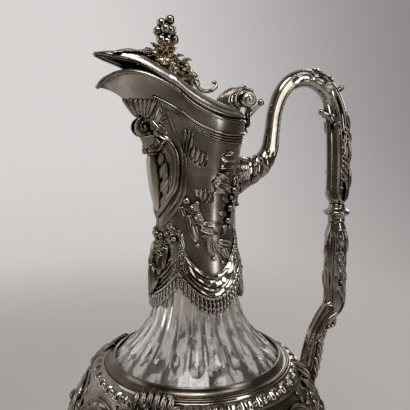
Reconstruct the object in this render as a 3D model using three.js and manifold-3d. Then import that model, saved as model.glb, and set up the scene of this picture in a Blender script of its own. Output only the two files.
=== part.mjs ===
// Claret jug: a fluted glass vessel in chased silver mounts, with a hinged beak lid and a scroll handle.
// Millimetres, +Z up. The origin is the middle of the foot's underside.
// The spout points to -X and the handle to +X.
import * as THREE from "three";
import { mergeVertices } from "three/addons/utils/BufferGeometryUtils.js";
import Module from "manifold-3d";

const wasm = await Module();
wasm.setup();

// Driving dimensions
const seat = 0.3; // clearance between pieces that touch
const sheet = 1.2; // thickness of the silver sheet
const glassWall = 4.5;
const flutes = 24; // hollow cuts round the glass neck
const ringInner = 43.5; // shoulder ring, where the glass goes into the silver
const ringOuter = 48.3;
const ringTop = 130;
const sleeveFoot = 176; // lowest edge of the plain neck sleeve
const flareStart = 225; // height at which the neck leaves its round section
const flareRadius = 20.9;
const mouthRadius = 25;
const spoutReach = 51; // spout tip, from the jug's axis
const spoutNarrowing = 0.64;
const rimWireRadius = 1.1;
const glassTop = 236;
const footRadius = 50;
const hingeAxis = { x: 25.5, z: 262.6 };
const knuckleRadius = 3.6;
const pinRadius = 1.3;
const handleGripX = 89.5;
const knopMiddle = 199.5;
const swagPeak = 170.5; // fringe height between two swags
const swagDrop = 13.5;
const swagTop = 194;

const silver = new THREE.MeshStandardMaterial({ color: 0xb9b4ab, roughness: 0.22, metalness: 1 });
const wornSilver = new THREE.MeshStandardMaterial({ color: 0xb3a686, roughness: 0.32, metalness: 1 });
const crystal = new THREE.MeshStandardMaterial({
  color: 0xe9eeee,
  roughness: 0.03,
  metalness: 0,
  transparent: true,
  opacity: 0.35,
});

const turn = Math.PI * 2;
const degrees = (d) => (d * Math.PI) / 180;
const vec = (x, y, z) => new THREE.Vector3(x, y, z);

// Smooth y(x) through points given in rising order of x.
function through(points) {
  const last = points.length - 1;
  const slope = (i) => {
    const a = points[Math.max(i - 1, 0)];
    const b = points[Math.min(i + 1, last)];
    return (b[1] - a[1]) / (b[0] - a[0]);
  };
  return (x) => {
    let i = 0;
    while (i < last - 1 && x > points[i + 1][0]) i += 1;
    const [x0, y0] = points[i];
    const [x1, y1] = points[i + 1];
    const w = x1 - x0;
    const t = Math.min(Math.max((x - x0) / w, 0), 1);
    const rise = y1 - y0;
    const bend = (w * slope(i) - rise) * (1 - t) + (rise - w * slope(i + 1)) * t;
    return y0 + rise * t + t * (1 - t) * bend;
  };
}

// The same outline of [r, z] points, moved along its own normals.
function offsetProfile(profile, distance) {
  return profile.map(([r, z], i) => {
    const a = profile[Math.max(i - 1, 0)];
    const b = profile[Math.min(i + 1, profile.length - 1)];
    const length = Math.hypot(b[0] - a[0], b[1] - a[1]);
    return [r - ((b[1] - a[1]) / length) * distance, z + ((b[0] - a[0]) / length) * distance];
  });
}

function toSolid(geometry) {
  const bare = geometry.index ? geometry.toNonIndexed() : geometry.clone();
  const plain = new THREE.BufferGeometry().setAttribute("position", bare.getAttribute("position"));
  const merged = mergeVertices(plain, 1e-3);
  const index = merged.index.array;
  const kept = [];
  for (let i = 0; i < index.length; i += 3) {
    const [a, b, c] = index.slice(i, i + 3);
    if (a !== b && b !== c && c !== a) kept.push(a, b, c);
  }
  const build = (triVerts) =>
    new wasm.Manifold(
      new wasm.Mesh({ numProp: 3, vertProperties: merged.attributes.position.array, triVerts }),
    );
  const made = build(new Uint32Array(kept));
  if (made.volume() > 0) return made;
  for (let i = 0; i < kept.length; i += 3) [kept[i + 1], kept[i + 2]] = [kept[i + 2], kept[i + 1]];
  return build(new Uint32Array(kept));
}

function toGeometry(solid) {
  const { numProp, numVert, vertProperties, triVerts } = solid.getMesh();
  const position = new Float32Array(numVert * 3);
  for (let i = 0; i < numVert; i += 1) {
    position.set(vertProperties.subarray(i * numProp, i * numProp + 3), i * 3);
  }
  const geometry = new THREE.BufferGeometry();
  geometry.setAttribute("position", new THREE.BufferAttribute(position, 3));
  geometry.setIndex(new THREE.BufferAttribute(new Uint32Array(triVerts), 1));
  geometry.computeVertexNormals();
  return geometry;
}

const fuse = (solids) => solids.reduce((a, b) => a.add(b));

// Skins closed rings of equal length. The ends are capped across each ring, "looped" joins the last ring to the
// first, and "shut" leaves ends that already close on a line.
function loft(rings, ends = "capped") {
  const position = [];
  const triangle = (a, b, c) => position.push(...a.toArray(), ...b.toArray(), ...c.toArray());
  const count = rings[0].length;
  const spans = ends === "looped" ? rings.length : rings.length - 1;
  for (let i = 0; i < spans; i += 1) {
    const low = rings[i];
    const high = rings[(i + 1) % rings.length];
    for (let j = 0; j < count; j += 1) {
      const k = (j + 1) % count;
      triangle(low[j], low[k], high[k]);
      triangle(low[j], high[k], high[j]);
    }
  }
  const cap = (ring) => {
    for (let j = 0, k = count - 1; j + 1 < k; j += 1, k -= 1) {
      triangle(ring[j], ring[k], ring[j + 1]);
      if (j + 1 < k - 1) triangle(ring[j + 1], ring[k], ring[k - 1]);
    }
  };
  if (ends === "capped") {
    cap(rings[0]);
    cap([...rings[rings.length - 1]].reverse());
  }
  const geometry = new THREE.BufferGeometry();
  geometry.setAttribute("position", new THREE.Float32BufferAttribute(position, 3));
  return toSolid(geometry);
}

// A solid of revolution about Z. The profile of [r, z] points starts and ends on the axis, or closes on itself.
function revolve(profile, segments) {
  const points = profile.map(([r, z]) => new THREE.Vector2(r, z));
  const geometry = new THREE.LatheGeometry(points, segments);
  geometry.rotateX(Math.PI / 2);
  return toSolid(geometry);
}

const closedProfile = (profile) => [...profile, profile[0]];

// A raised ornament that follows a surface: shape(u, v), with u and v from 0 to 1, gives its two surface
// coordinates and its height.
function relief(surface, columns, rows, shape) {
  const rings = [];
  for (let i = 0; i <= columns; i += 1) {
    const top = [];
    const bottom = [];
    for (let j = 0; j <= rows; j += 1) {
      const [a, b, height] = shape(i / columns, j / rows);
      top.push(surface(a, b, seat + height));
      bottom.push(surface(a, b, seat));
    }
    rings.push([...top, ...bottom.reverse()]);
  }
  return loft(rings);
}

// A bar swept along a route in the XZ plane: size(t) gives its half thickness in that plane and across it.
function bar(points, steps, sides, size, phase = 0) {
  const route = new THREE.CatmullRomCurve3(points.map(([x, z]) => vec(x, 0, z)), false, "centripetal");
  const rings = [];
  for (let i = 0; i <= steps; i += 1) {
    const at = route.getPointAt(i / steps);
    const along = route.getTangentAt(i / steps);
    const normal = vec(-along.z, 0, along.x);
    const [thick, wide] = size(i / steps);
    rings.push(
      Array.from({ length: sides }, (_, k) => {
        const angle = (turn * k) / sides + phase;
        const aside = vec(0, wide * Math.sin(angle), 0);
        return at.clone().addScaledVector(normal, thick * Math.cos(angle)).add(aside);
      }),
    );
  }
  return loft(rings);
}

function tube(points, steps, sides, radius) {
  const route = new THREE.CatmullRomCurve3(points, false, "centripetal");
  const section = new THREE.Shape();
  section.absarc(0, 0, radius, 0, turn, false);
  const geometry = new THREE.ExtrudeGeometry(section, {
    steps,
    curveSegments: sides,
    extrudePath: route,
    bevelEnabled: false,
  });
  return toSolid(geometry);
}

function cylinderAlongY(radius, from, to, x, z, segments) {
  const geometry = new THREE.CylinderGeometry(radius, radius, to - from, segments);
  return toSolid(geometry.translate(x, (from + to) / 2, z));
}

function block(x0, x1, y0, y1, z0, z1) {
  const geometry = new THREE.BoxGeometry(x1 - x0, y1 - y0, z1 - z0);
  return toSolid(geometry.translate((x0 + x1) / 2, (y0 + y1) / 2, (z0 + z1) / 2));
}

// Straight lines y(x) through points given in rising order of x.
function straight(points) {
  return (x) => {
    let i = 0;
    while (i < points.length - 2 && x > points[i + 1][0]) i += 1;
    const [x0, y0] = points[i];
    const [x1, y1] = points[i + 1];
    return y0 + ((y1 - y0) * (x - x0)) / (x1 - x0);
  };
}

// Body: the silver casing's outer profile, from the shoulder ring down to the stem
const casingProfile = [
  [48.6, 126.2],
  [54.8, 121.4],
  [60.2, 113.6],
  [64.6, 104.6],
  [68.4, 95],
  [71, 85.5],
  [71.6, 76],
  [69.6, 66.4],
  [64.4, 57.4],
  [55.6, 49.6],
  [39, 41.6],
  [20.5, 37.6],
];
const casingRadius = straight(casingProfile.map(([r, z]) => [z, r]).reverse());
const casingWall = 1.4;
const casingClearance = 0.6;
const everySecond = (points) => points.filter((_, i) => i % 2 === 0 || i === points.length - 1);

function casingAt(angle, z, lift) {
  const step = 2;
  const slope = (casingRadius(z + step) - casingRadius(z - step)) / (2 * step);
  const length = Math.hypot(1, slope);
  const proud = lift > 0 ? lift + 0.2 : 0;
  const r = casingRadius(z) + proud / length;
  return vec(r * Math.cos(angle), r * Math.sin(angle), z - (proud * slope) / length);
}

function bodyCasing() {
  const bore = offsetProfile(everySecond(casingProfile), -casingWall);
  const above = [bore[0][0], ringTop];
  const inner = revolve([[0, ringTop], above, ...bore, [bore[bore.length - 1][0], 30], [0, 30]], 24);
  return revolve([[0, casingProfile[0][1]], ...casingProfile, [0, 37.6]], 32).subtract(inner);
}

// Glass: the fluted bell of the neck, and the bulb inside the casing
const neckGlass = [
  [18.5, glassTop],
  [18.6, 195],
  [19.8, 176],
  [21.4, 163.5],
  [24.1, 153],
  [25.2, 148.2],
  [27.3, 145.6],
  [30.7, 141.2],
  [35.6, 136],
  [39.8, 132],
  [43.6, 128.2],
];
const bulbGlass = offsetProfile(everySecond(casingProfile), -casingWall - casingClearance).slice(0, -1);
const fluteDepth = through([
  [132.2, 0],
  [134, 1],
  [140, 1.5],
  [150, 1],
  [160, 0.7],
  [185, 0.4],
  [195, 0],
]);

function glassVessel() {
  const columns = flutes * 2;
  const ring = ([r, z]) =>
    Array.from({ length: columns }, (_, j) => {
      const hollow = j % 2 === 0 || z < 132.2 || z > 195 ? 0 : fluteDepth(z);
      const angle = (turn * j) / columns;
      return vec((r - hollow) * Math.cos(angle), (r - hollow) * Math.sin(angle), z);
    });
  const neck = loft([...neckGlass, [42, 127]].map(ring));
  const bulb = revolve([[0, 128.2], [43.6, 128.2], ...bulbGlass, [26, 41.4], [0, 40.6]], 24);
  const neckBore = neckGlass.filter(([, z]) => z < 200 && z > 129).map(([r, z]) => [r - glassWall, z - 0.5]);
  const bulbBore = offsetProfile(bulbGlass, -glassWall).slice(1);
  const inner = revolve([[0, glassTop + 5], [14, glassTop + 5], ...neckBore, ...bulbBore, [0, 46]], 16);
  return neck.add(bulb).subtract(inner);
}

// Neck sleeve and spout
const sleeveRadius = through([
  [sleeveFoot, 21.7],
  [185, 20.9],
  [195, 20.45],
  [205, 20.3],
  [215, 20.5],
  [flareStart, flareRadius],
]);
const rimHeight = through([
  [-51, 266.5],
  [-48.3, 269.6],
  [-44.5, 272.2],
  [-40, 273.6],
  [-36, 273.9],
  [-31, 272.8],
  [-25, 270],
  [-18, 265.9],
  [-12.3, 260.8],
  [-5, 256.4],
  [5, 253.1],
  [15, 252.3],
  [25, 252.3],
]);

// Plan of the rim: round behind, drawn out to the spout in front.
function rimPlan(angle) {
  const front = Math.max(-Math.cos(angle), 0);
  const reach = Math.cos(angle) > 0 ? mouthRadius : spoutReach;
  return [reach * Math.cos(angle), mouthRadius * Math.sin(angle) * (1 - spoutNarrowing * front ** 2)];
}

// The sleeve's outer surface: share runs from 0 at its foot, through the start of the flare, to 1 at the rim.
const straightShare = 0.5;
function smoothSleeve(angle, share) {
  if (share <= straightShare) {
    const z = sleeveFoot + (share / straightShare) * (flareStart - sleeveFoot);
    return vec(sleeveRadius(z) * Math.cos(angle), sleeveRadius(z) * Math.sin(angle), z);
  }
  const [x, y] = rimPlan(angle);
  const front = Math.max(-Math.cos(angle), 0) ** 2.5;
  const outX = Math.cos(angle);
  const outY = Math.sin(angle);
  const start = vec(flareRadius * outX, flareRadius * outY, flareStart);
  const end = vec(x, y, rimHeight(x));
  const leaving = 0.9 + 0.7 * front;
  const leave = start.clone().add(vec(outX * leaving, outY * leaving, 9.5 + 10.5 * front));
  const arriveOut = 0.5 + 14.5 * front;
  const arrive = end.clone().add(vec(-outX * arriveOut, -outY * arriveOut, -7.5 + 9 * front));
  return new THREE.CubicBezierCurve3(start, leave, arrive, end).getPoint(
    (share - straightShare) / (1 - straightShare),
  );
}

// The same surface as the sheet is facetted, so that ornaments sit on it.
const sleeveShares = [0, 0.2, 0.36, straightShare, 0.6, 0.7, 0.78, 0.86, 0.94, 1];
function sleeveSurface(angle, share) {
  let i = 0;
  while (i < sleeveShares.length - 2 && share > sleeveShares[i + 1]) i += 1;
  const t = (share - sleeveShares[i]) / (sleeveShares[i + 1] - sleeveShares[i]);
  return smoothSleeve(angle, sleeveShares[i]).lerp(smoothSleeve(angle, sleeveShares[i + 1]), t);
}

function sleeveNormal(angle, share) {
  const step = 0.01;
  const held = Math.min(Math.max(share, step), 1 - step);
  const across = smoothSleeve(angle + step, share).sub(smoothSleeve(angle - step, share));
  const upward = smoothSleeve(angle, held + step).sub(smoothSleeve(angle, held - step));
  return vec(0, 0, 0).crossVectors(across, upward).normalize();
}

const sleeveAt = (angle, share, lift) =>
  sleeveSurface(angle, share).addScaledVector(sleeveNormal(angle, share), lift);

// A point a short way below the rim, measured along the surface.
function belowRim(angle, distance, lift) {
  const along = smoothSleeve(angle, 1).sub(smoothSleeve(angle, 0.97)).normalize();
  const normal = sleeveNormal(angle, 0.99);
  return smoothSleeve(angle, 1).addScaledVector(along, -distance).addScaledVector(normal, lift);
}

// Share of the sleeve's surface at a height, for ornaments placed by height.
function shareAt(angle, z) {
  let low = 0;
  let high = 0.97;
  for (let i = 0; i < 20; i += 1) {
    const mid = (low + high) / 2;
    if (sleeveSurface(angle, mid).z < z) low = mid;
    else high = mid;
  }
  return (low + high) / 2;
}

const neckAt = (angle, z, lift) => sleeveAt(angle, shareAt(angle, z), lift);
const roundAngles = (count) => Array.from({ length: count }, (_, i) => (turn * i) / count);

// The sleeve filled solid and grown by a lift, to cut what stands against it.
function sleeveEnvelope(lift, from, to) {
  const shares = [from, ...sleeveShares.filter((share) => share > from && share < to), to];
  return loft(shares.map((share) => roundAngles(32).map((a) => sleeveAt(a, share, lift))));
}

function neckSleeve() {
  const angles = roundAngles(32);
  const wall = (shares, lift) => [
    ...shares.slice(0, -1).map((share) => angles.map((a) => sleeveAt(a, share, lift))),
    angles.map((a) => belowRim(a, 2 * rimWireRadius + seat, lift)),
  ];
  const innerShares = [0, straightShare, 0.7, 0.86, 1];
  return loft([...wall(sleeveShares, 0), ...wall(innerShares, -sheet).reverse()], "looped");
}

function spoutRimWire() {
  const rings = roundAngles(32).map((a) =>
    Array.from({ length: 4 }, (_, k) => {
      const t = (turn * k) / 4;
      return belowRim(a, rimWireRadius * (1 - Math.cos(t)), rimWireRadius * Math.sin(t) - sheet / 2);
    }),
  );
  return loft(rings, "looped");
}

// Reeds that follow the rim round the back and run out to a point on each flank of the spout.
function reededBand() {
  const reach = degrees(130);
  const heights = [0.2, 1, 0.2, 1, 0.2];
  const last = heights.length - 1;
  const share = through([
    [0, 0.825],
    [0.35, 0.82],
    [0.6, 0.82],
    [0.85, 0.825],
    [1, 0.84],
  ]);
  return relief((a, share, lift) => sleeveAt(a, share, lift + 0.25), 20, last, (u, v) => {
    const angle = (2 * u - 1) * reach;
    const out = Math.abs(2 * u - 1);
    const width = 0.105 * (1 - 0.85 * out ** 3);
    return [angle, share(out) - width / 2 + width * v, heights[Math.round(v * last)] * (1 - 0.4 * out)];
  });
}

// Ornaments on the neck are drawn as [degrees from the front, height] and mirrored by their side, 1 or -1.
const front = Math.PI;
const neckRadius = 21.5;
const smoothList = (points) => {
  const last = points.length - 1;
  const angle = through(points.map(([a], i) => [i / last, a]));
  const height = through(points.map(([, z], i) => [i / last, z]));
  return (t) => [angle(t), height(t)];
};
const toNeck = (side, [angle, z], lift) => [front + side * degrees(angle), z, lift];

// A strip of ornament along a list of points.
function strip(points, side, columns, rows, halfWidth, lift) {
  const route = smoothList(points);
  const perDegree = degrees(neckRadius);
  return relief(neckAt, columns, rows, (u, v) => {
    const [a0, z0] = route(Math.max(u - 0.02, 0));
    const [a1, z1] = route(Math.min(u + 0.02, 1));
    const dx = (a1 - a0) * perDegree;
    const dz = z1 - z0;
    const across = ((2 * v - 1) * halfWidth(u)) / Math.hypot(dx, dz);
    const [a, z] = route(u);
    return toNeck(side, [a + (dz * across) / perDegree, z - dx * across], lift(u, v));
  });
}

// A small pointed leaf: its foot, its heading in degrees from level, its length, width and height.
function leafOn(side, [angle, z], heading, length, width, height) {
  const perDegree = degrees(neckRadius);
  const outline = [[0, 0], [0.45, 0.5], [1, 0], [0.45, -0.5]];
  const ring = (scale, lift) =>
    outline.map(([l, w]) => {
      const along = (0.4 + (l - 0.4) * scale) * length;
      const across = w * width * scale;
      const dx = along * Math.cos(degrees(heading)) - across * Math.sin(degrees(heading));
      const dz = along * Math.sin(degrees(heading)) + across * Math.cos(degrees(heading));
      return neckAt(...toNeck(side, [angle + dx / perDegree, z + dz], lift));
    });
  return loft([ring(1, seat), ring(0.5, seat + height)]);
}

// Cartouche on the front of the neck
function cartoucheFrame() {
  const outer = [[0, 194.5], [16, 197.5], [30, 202.8], [42, 208.3], [51, 215], [55, 223], [56, 231]];
  outer.push([54.5, 238.5], [50, 246], [43.5, 253], [37, 258]);
  const inner = [[0, 200.5], [13, 203], [24, 206.5], [32.5, 211], [38.5, 216.5], [42, 223], [43, 231]];
  inner.push([41.5, 238], [38, 245], [34.5, 250.5], [31, 254.5]);
  const heights = [0.3, 1.7, 0.7, 1.3, 0.3];
  const outerLine = smoothList(outer);
  const innerLine = smoothList(inner);
  return relief(neckAt, 18, 4, (u, v) => {
    const t = Math.abs(2 * u - 1);
    const [a0, z0] = outerLine(t);
    const [a1, z1] = innerLine(t);
    const lift = heights[Math.round(v * 4)] * (1 - 0.6 * t ** 4);
    return toNeck(u < 0.5 ? -1 : 1, [a0 + (a1 - a0) * v, z0 + (z1 - z0) * v], lift);
  });
}

function cartouchePanel() {
  const bulge = 4.6;
  return relief(neckAt, 6, 6, (u, v) => {
    const across = 2 * u - 1;
    const dome = Math.sin(Math.PI * v) ** 0.6;
    const lift = 0.4 + bulge * (1 - across ** 2) ** 0.7 * dome;
    return [front + degrees(12.5) * (0.45 + 0.55 * dome) * across, 206 + 30 * v, lift];
  });
}

function cartoucheLeaf(side) {
  const line = [[13, 209], [20, 215], [22.5, 222], [23, 229], [21, 236]];
  return strip(line, side, 8, 2, (u) => 3.4 * Math.sin(Math.PI * (0.1 + 0.8 * u)), (u, v) =>
    v === 0.5 ? 1.3 : 0.4 + (Math.round(u * 8) % 2) * 0.5,
  );
}

// A rolled volute at the head of the cartouche, with its roll lying across the neck
function crestVolute() {
  const middle = { x: -28.8, z: 248.6 };
  const route = Array.from({ length: 11 }, (_, i) => {
    const angle = degrees(-60 - 45 * i);
    const r = 4.2 - 0.27 * i;
    return [middle.x + r * Math.cos(angle), middle.z + r * Math.sin(angle)];
  });
  return bar(route, 16, 4, () => [0.75, 8.2], Math.PI / 4).subtract(sleeveEnvelope(seat, 0.5, 0.97));
}

function crestShell() {
  return relief(neckAt, 10, 3, (u, v) => {
    const across = 2 * u - 1;
    const z = 243.6 - 7 * v * (1 - 0.35 * across ** 2);
    const half = degrees(15 + 9 * v);
    const rib = Math.round(u * 10) % 2 ? 1.1 : 0.3;
    return [front + half * across, z, (0.5 + rib) * (1 - 0.3 * v)];
  });
}

// Leafy flutes that spread under the spout from the head of the scroll
function spoutFan() {
  return relief((angle, z, lift) => neckAt(angle, z, lift + 0.25), 10, 2, (u, v) => {
    const flute = Math.round(u * 10) % 2 ? 1.3 : 0.3;
    return [front + degrees(23 + 7 * v) * (2 * u - 1), 254.6 + 6.4 * v, flute * (1 - 0.5 * v)];
  });
}

// Shell and hanging husks below the cartouche
function cartouchePendant() {
  const shell = relief(neckAt, 8, 2, (u, v) => {
    const t = degrees(180 * u);
    const r = 1.4 + 5.4 * v;
    const rib = Math.round(u * 8) % 2;
    return toNeck(1, [(r * Math.cos(t)) / degrees(neckRadius), 187.2 + r * Math.sin(t)], 2.1 + 0.9 * rib);
  });
  const husk = (side, a, heading) => leafOn(side, [a, 189.2], heading, 9, 4.6, 3.2);
  return fuse([shell, husk(1, 0, -90), husk(1, 8, -38), husk(-1, 8, -38)]);
}

// Ribbons and laurel on the flanks of the neck
function upperRibbon(side) {
  const line = [[58, 246.6], [61.5, 241.5], [66, 237.4], [72.5, 235.2], [81, 234.3]];
  return strip(line, side, 10, 1, (u) => 2.9 * (0.7 + 0.3 * u), (u) => 0.5 + (Math.round(u * 10) % 2) * 0.9);
}

function lowerRibbon(side) {
  const line = [[110, 236.4], [104, 231], [102.5, 225], [98, 219.5], [86, 215.6], [66, 216.2]];
  return strip(line, side, 12, 1, () => 2.9, (u) => 0.5 + (Math.round(u * 12) % 2) * 0.9);
}

function laurelSpray(side) {
  const line = [[49, 211], [60, 207.6], [72.3, 202.1], [86.3, 195], [94.8, 188.8], [99, 185.4]];
  const stem = strip(line, side, 8, 1, () => 0.6, () => 0.8);
  const at = smoothList(line);
  const leaf = (t, heading) => leafOn(side, at(t), heading, 8.4, 3.3, 1.4);
  const pair = (t, heading) => [leaf(t, heading + 34), leaf(t, heading - 30)];
  return fuse([stem, ...pair(0.12, -30), ...pair(0.44, -38), ...pair(0.74, -44)]);
}

// Three husks on a string beside the handle's root
function huskString(side) {
  const line = [[126, 217], [122, 211.5], [117.6, 206.5], [113, 200.5]];
  const husk = (u) => Math.abs(Math.sin(3 * Math.PI * u));
  return strip(line, side, 12, 2, (u) => 0.5 + 1.1 * husk(u), (u, v) => 0.3 + (v === 0.5 ? 1.3 * husk(u) : 0));
}

// Drapery round the foot of the sleeve, and the fringe below it
const swag = (angle) => Math.abs(Math.cos(2 * angle));
const skirtBase = through([
  [150, 25.2],
  [158, 24],
  [167, 22.7],
  [sleeveFoot, 22.15],
  [185, 21.3],
  [195, 20.85],
  [200, 20.75],
]);
const drapeTop = (angle) => swagTop - 17 * swag(angle) ** 0.85;
const fringeTop = (angle) => swagPeak + 7 - (swagDrop - 1) * swag(angle);
const fringeFoot = (angle) => swagPeak - swagDrop * swag(angle);

function hangingBand(angles, top, foot, outerLifts, inside) {
  const rows = outerLifts.length;
  const level = (a, i, n) => top(a) + ((foot(a) - top(a)) * i) / (n - 1);
  const point = (a, z, lift) => {
    const r = skirtBase(z) + lift;
    return vec(r * Math.cos(a), r * Math.sin(a), z);
  };
  const outer = Array.from({ length: rows }, (_, i) =>
    angles.map((a, j) => point(a, level(a, i, rows), outerLifts[i](a, j))),
  );
  const inner = Array.from({ length: inside }, (_, i) =>
    angles.map((a) => point(a, level(a, inside - 1 - i, inside), 0)),
  );
  return loft([...outer, ...inner], "looped");
}

function draperySwags() {
  const fold = (height) => (a) => 0.5 + height * (0.35 + 0.65 * swag(a));
  const lifts = [0.5, 1.6, 0.5, 1.9, 0.6, 1.6, 0.9].map(fold);
  return hangingBand(roundAngles(32), drapeTop, (a) => fringeTop(a) + seat, lifts, 3);
}

function bullionFringe() {
  const thread = (proud) => (a, j) => proud + (j % 2 ? 0.75 : 0);
  return hangingBand(roundAngles(48), fringeTop, fringeFoot, [thread(0.5), thread(0.7)], 2);
}

// A leaf that hangs over the folds of the front swag
function draperyLeaf() {
  const foldHeight = 2.5;
  const onFolds = (angle, z, lift) => {
    const r = skirtBase(z) + foldHeight + lift;
    return vec(r * Math.cos(angle), r * Math.sin(angle), z);
  };
  return relief(onFolds, 4, 4, (u, v) => {
    const across = 2 * u - 1;
    const half = degrees(16) * Math.sin(Math.PI * (0.2 + 0.72 * v));
    return [front + half * across, 178.4 - 14 * v, 0.4 + 1.2 * (1 - across ** 2)];
  });
}

// Shoulder ring and the bead-and-reel band below it
function shoulderRing() {
  return revolve(
    closedProfile([
      [ringInner + 0.2, ringTop + 0.2],
      [ringInner + 1.3, ringTop + 0.2],
      [ringInner + 2.2, 128.6],
      [ringOuter - 1.3, 127.2],
      [ringOuter - 0.3, 127.8],
      [ringOuter + 0.5, 126.8],
      [ringOuter - 1.6, 126.5],
      [ringInner, 129.1],
    ]),
    32,
  );
}

const bandTop = 125;
const bandFoot = 119.6;
function beadAndReelBand() {
  const columns = 48;
  const around = (z, lift) =>
    Array.from({ length: columns }, (_, j) => casingAt((turn * j) / columns, z, lift(j)));
  const outer = [
    [bandTop, 0.3],
    [bandTop - 2, 1.6],
    [bandFoot, 0.4],
  ].map(([z, share]) => around(z, (j) => seat + share * (j % 2 ? 0.5 : 1.2)));
  const inner = [bandFoot, 121.4, bandTop].map((z) => around(z, () => seat));
  return loft([...outer, ...inner], "looped");
}

// Ornaments on the casing
function voluteMedallion(angle, z, radius) {
  const heights = [0.8, 2.6, 1, 3];
  const point = (t, row, height) => {
    const r = radius * (1 - 0.3 * row);
    const level = z + 0.86 * r * Math.cos(t);
    return casingAt(angle + (r * Math.sin(t)) / casingRadius(level), level, seat + height);
  };
  const rings = roundAngles(10).map((t) => [
    ...heights.map((height, row) => point(t, row, height)),
    ...heights.map((_, row) => point(t, row, 0)).reverse(),
  ]);
  return loft(rings, "looped");
}

// Rows of a leaf lie on the casing's own bends.
const leafRows = (top, foot) => {
  const between = casingProfile.map(([, z]) => z).filter((z) => z < top && z > foot);
  return [top, ...between, foot];
};

function acanthusLeaf(angle, top, length, halfWidth) {
  const rows = leafRows(top, top - length);
  return relief(casingAt, 4, rows.length - 1, (u, v) => {
    const across = 2 * u - 1;
    const z = rows[Math.round(v * (rows.length - 1))];
    const down = (top - z) / length;
    const half = halfWidth * (0.35 + 0.65 * Math.sin(Math.PI * Math.min(down * 1.1 + 0.08, 1)));
    const rib = 0.7 + 2 * (1 - Math.abs(across));
    return [angle + (half * across) / casingRadius(z), z, rib * (0.5 + 0.5 * Math.sin(Math.PI * down))];
  });
}

// Foot
function stemCup() {
  return revolve(
    [
      [0, 36.9],
      [19.4, 36.9],
      [25, 37.8],
      [26.4, 37],
      [22, 35],
      [15, 33.2],
      [13, 31],
      [0, 31],
    ],
    20,
  );
}

function stemKnop() {
  return revolve(
    [
      [0, 30.7],
      [11, 30.7],
      [13.4, 29.6],
      [14.6, 27.8],
      [13.4, 26],
      [11, 24.9],
      [0, 24.9],
    ],
    16,
  );
}

function footDome() {
  const outer = [
    [10.5, 24.6],
    [12.4, 21.9],
    [17, 19.4],
    [24, 17.4],
    [32, 14.6],
    [38.6, 11],
    [42, 8.4],
    [45.6, 7.2],
    [47.6, 5.3],
  ];
  const inner = offsetProfile(everySecond(outer), -sheet - 0.2);
  inner[inner.length - 1] = [45.4, 5.3];
  return revolve([[0, 24.6], ...outer, ...inner.reverse(), [0, 23]], 24);
}

function footBasePlate() {
  return revolve(
    [
      [0, 0],
      [footRadius - 0.8, 0],
      [footRadius, 0.9],
      [footRadius, 3.2],
      [footRadius - 1.4, 5],
      [43.5, 5],
      [43.5, 3],
      [0, 3],
    ],
    28,
  );
}

// Handle
function handleRootLeaf() {
  return relief(neckAt, 6, 5, (u, v) => {
    const across = 2 * u - 1;
    const half = degrees(30) * Math.sin(Math.PI * (0.12 + 0.76 * v)) ** 0.7;
    return [half * across, 206 + 29.5 * v, 0.5 + 1.5 * (1 - across ** 2) * Math.sin(Math.PI * v)];
  });
}

// The curled tip of a leaf that stands off a bar of the handle
function leafTip(route, thickness) {
  return bar(route, 5, 4, (t) => [thickness * (1 - 0.55 * t), thickness * (1.4 - 0.7 * t)], Math.PI / 4);
}

function handleUpperArm() {
  const route = [
    [19, 222],
    [24.1, 223.4],
    [31.5, 225.6],
    [38.6, 229.6],
    [42.8, 236],
    [44.4, 245],
    [46, 257],
    [49.6, 266.4],
    [55.6, 273],
    [64, 275.8],
    [73, 274.4],
    [80.6, 269],
    [85.6, 260],
    [87.9, 248],
    [89.3, 232],
    [handleGripX, 216],
    [handleGripX, knopMiddle + 5.6],
  ];
  const thick = through([
    [0, 11],
    [0.06, 8],
    [0.11, 6],
    [0.16, 5.2],
    [0.24, 4.4],
    [0.36, 4.4],
    [0.5, 5],
    [0.6, 5.6],
    [0.78, 6.8],
    [0.93, 7],
    [0.98, 6.2],
    [1, 4.6],
  ]);
  const arm = bar(route, 28, 8, (t) => [thick(t), thick(t) * (t < 0.12 ? 0.7 : 0.92)]);
  const outerTip = leafTip([[82, 266.5], [87.4, 270.2], [91, 272.4]], 2.2);
  const innerTip = leafTip([[84, 252.5], [79.6, 256], [75.8, 258.4]], 2.6);
  return fuse([arm, outerTip, innerTip]).subtract(sleeveEnvelope(2.6, 0.1, 0.9));
}

function handleKnop() {
  const profile = [
    [0, 5.3],
    [4.6, 5.3],
    [5.2, 3.2],
    [7.6, 1.2],
    [7.6, -0.6],
    [5.4, -2.4],
    [5, -5.2],
    [0, -5.2],
  ];
  const solid = revolve(
    profile.map(([r, z]) => [r, knopMiddle + z]),
    14,
  );
  return solid.translate([handleGripX, 0, 0]);
}

function handleLowerArm() {
  const route = [
    [handleGripX, knopMiddle - 5.5],
    [handleGripX + 0.1, 184],
    [handleGripX, 168],
    [handleGripX + 0.3, 152],
    [88.6, 142.5],
    [82.5, 134.5],
    [77.6, 126],
    [75.2, 116],
    [73.4, 107],
    [70.6, 99],
    [66, 92],
  ];
  const thick = through([
    [0, 4.6],
    [0.04, 6],
    [0.14, 7],
    [0.36, 6.6],
    [0.46, 6.6],
    [0.55, 5.6],
    [0.66, 5.4],
    [0.8, 6],
    [1, 6.6],
  ]);
  const arm = bar(route, 20, 8, (t) => [thick(t), thick(t) * 0.92]);
  const curl = leafTip([[86, 138.5], [90.2, 134.6], [90.4, 130.6], [87.4, 129.2]], 1.8);
  const body = loft(
    [125, 113.6, 104.6, 95, 85.5, 76].map((z) => roundAngles(36).map((a) => casingAt(a, z, 1.9))),
  );
  return arm.add(curl).subtract(body);
}

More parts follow.
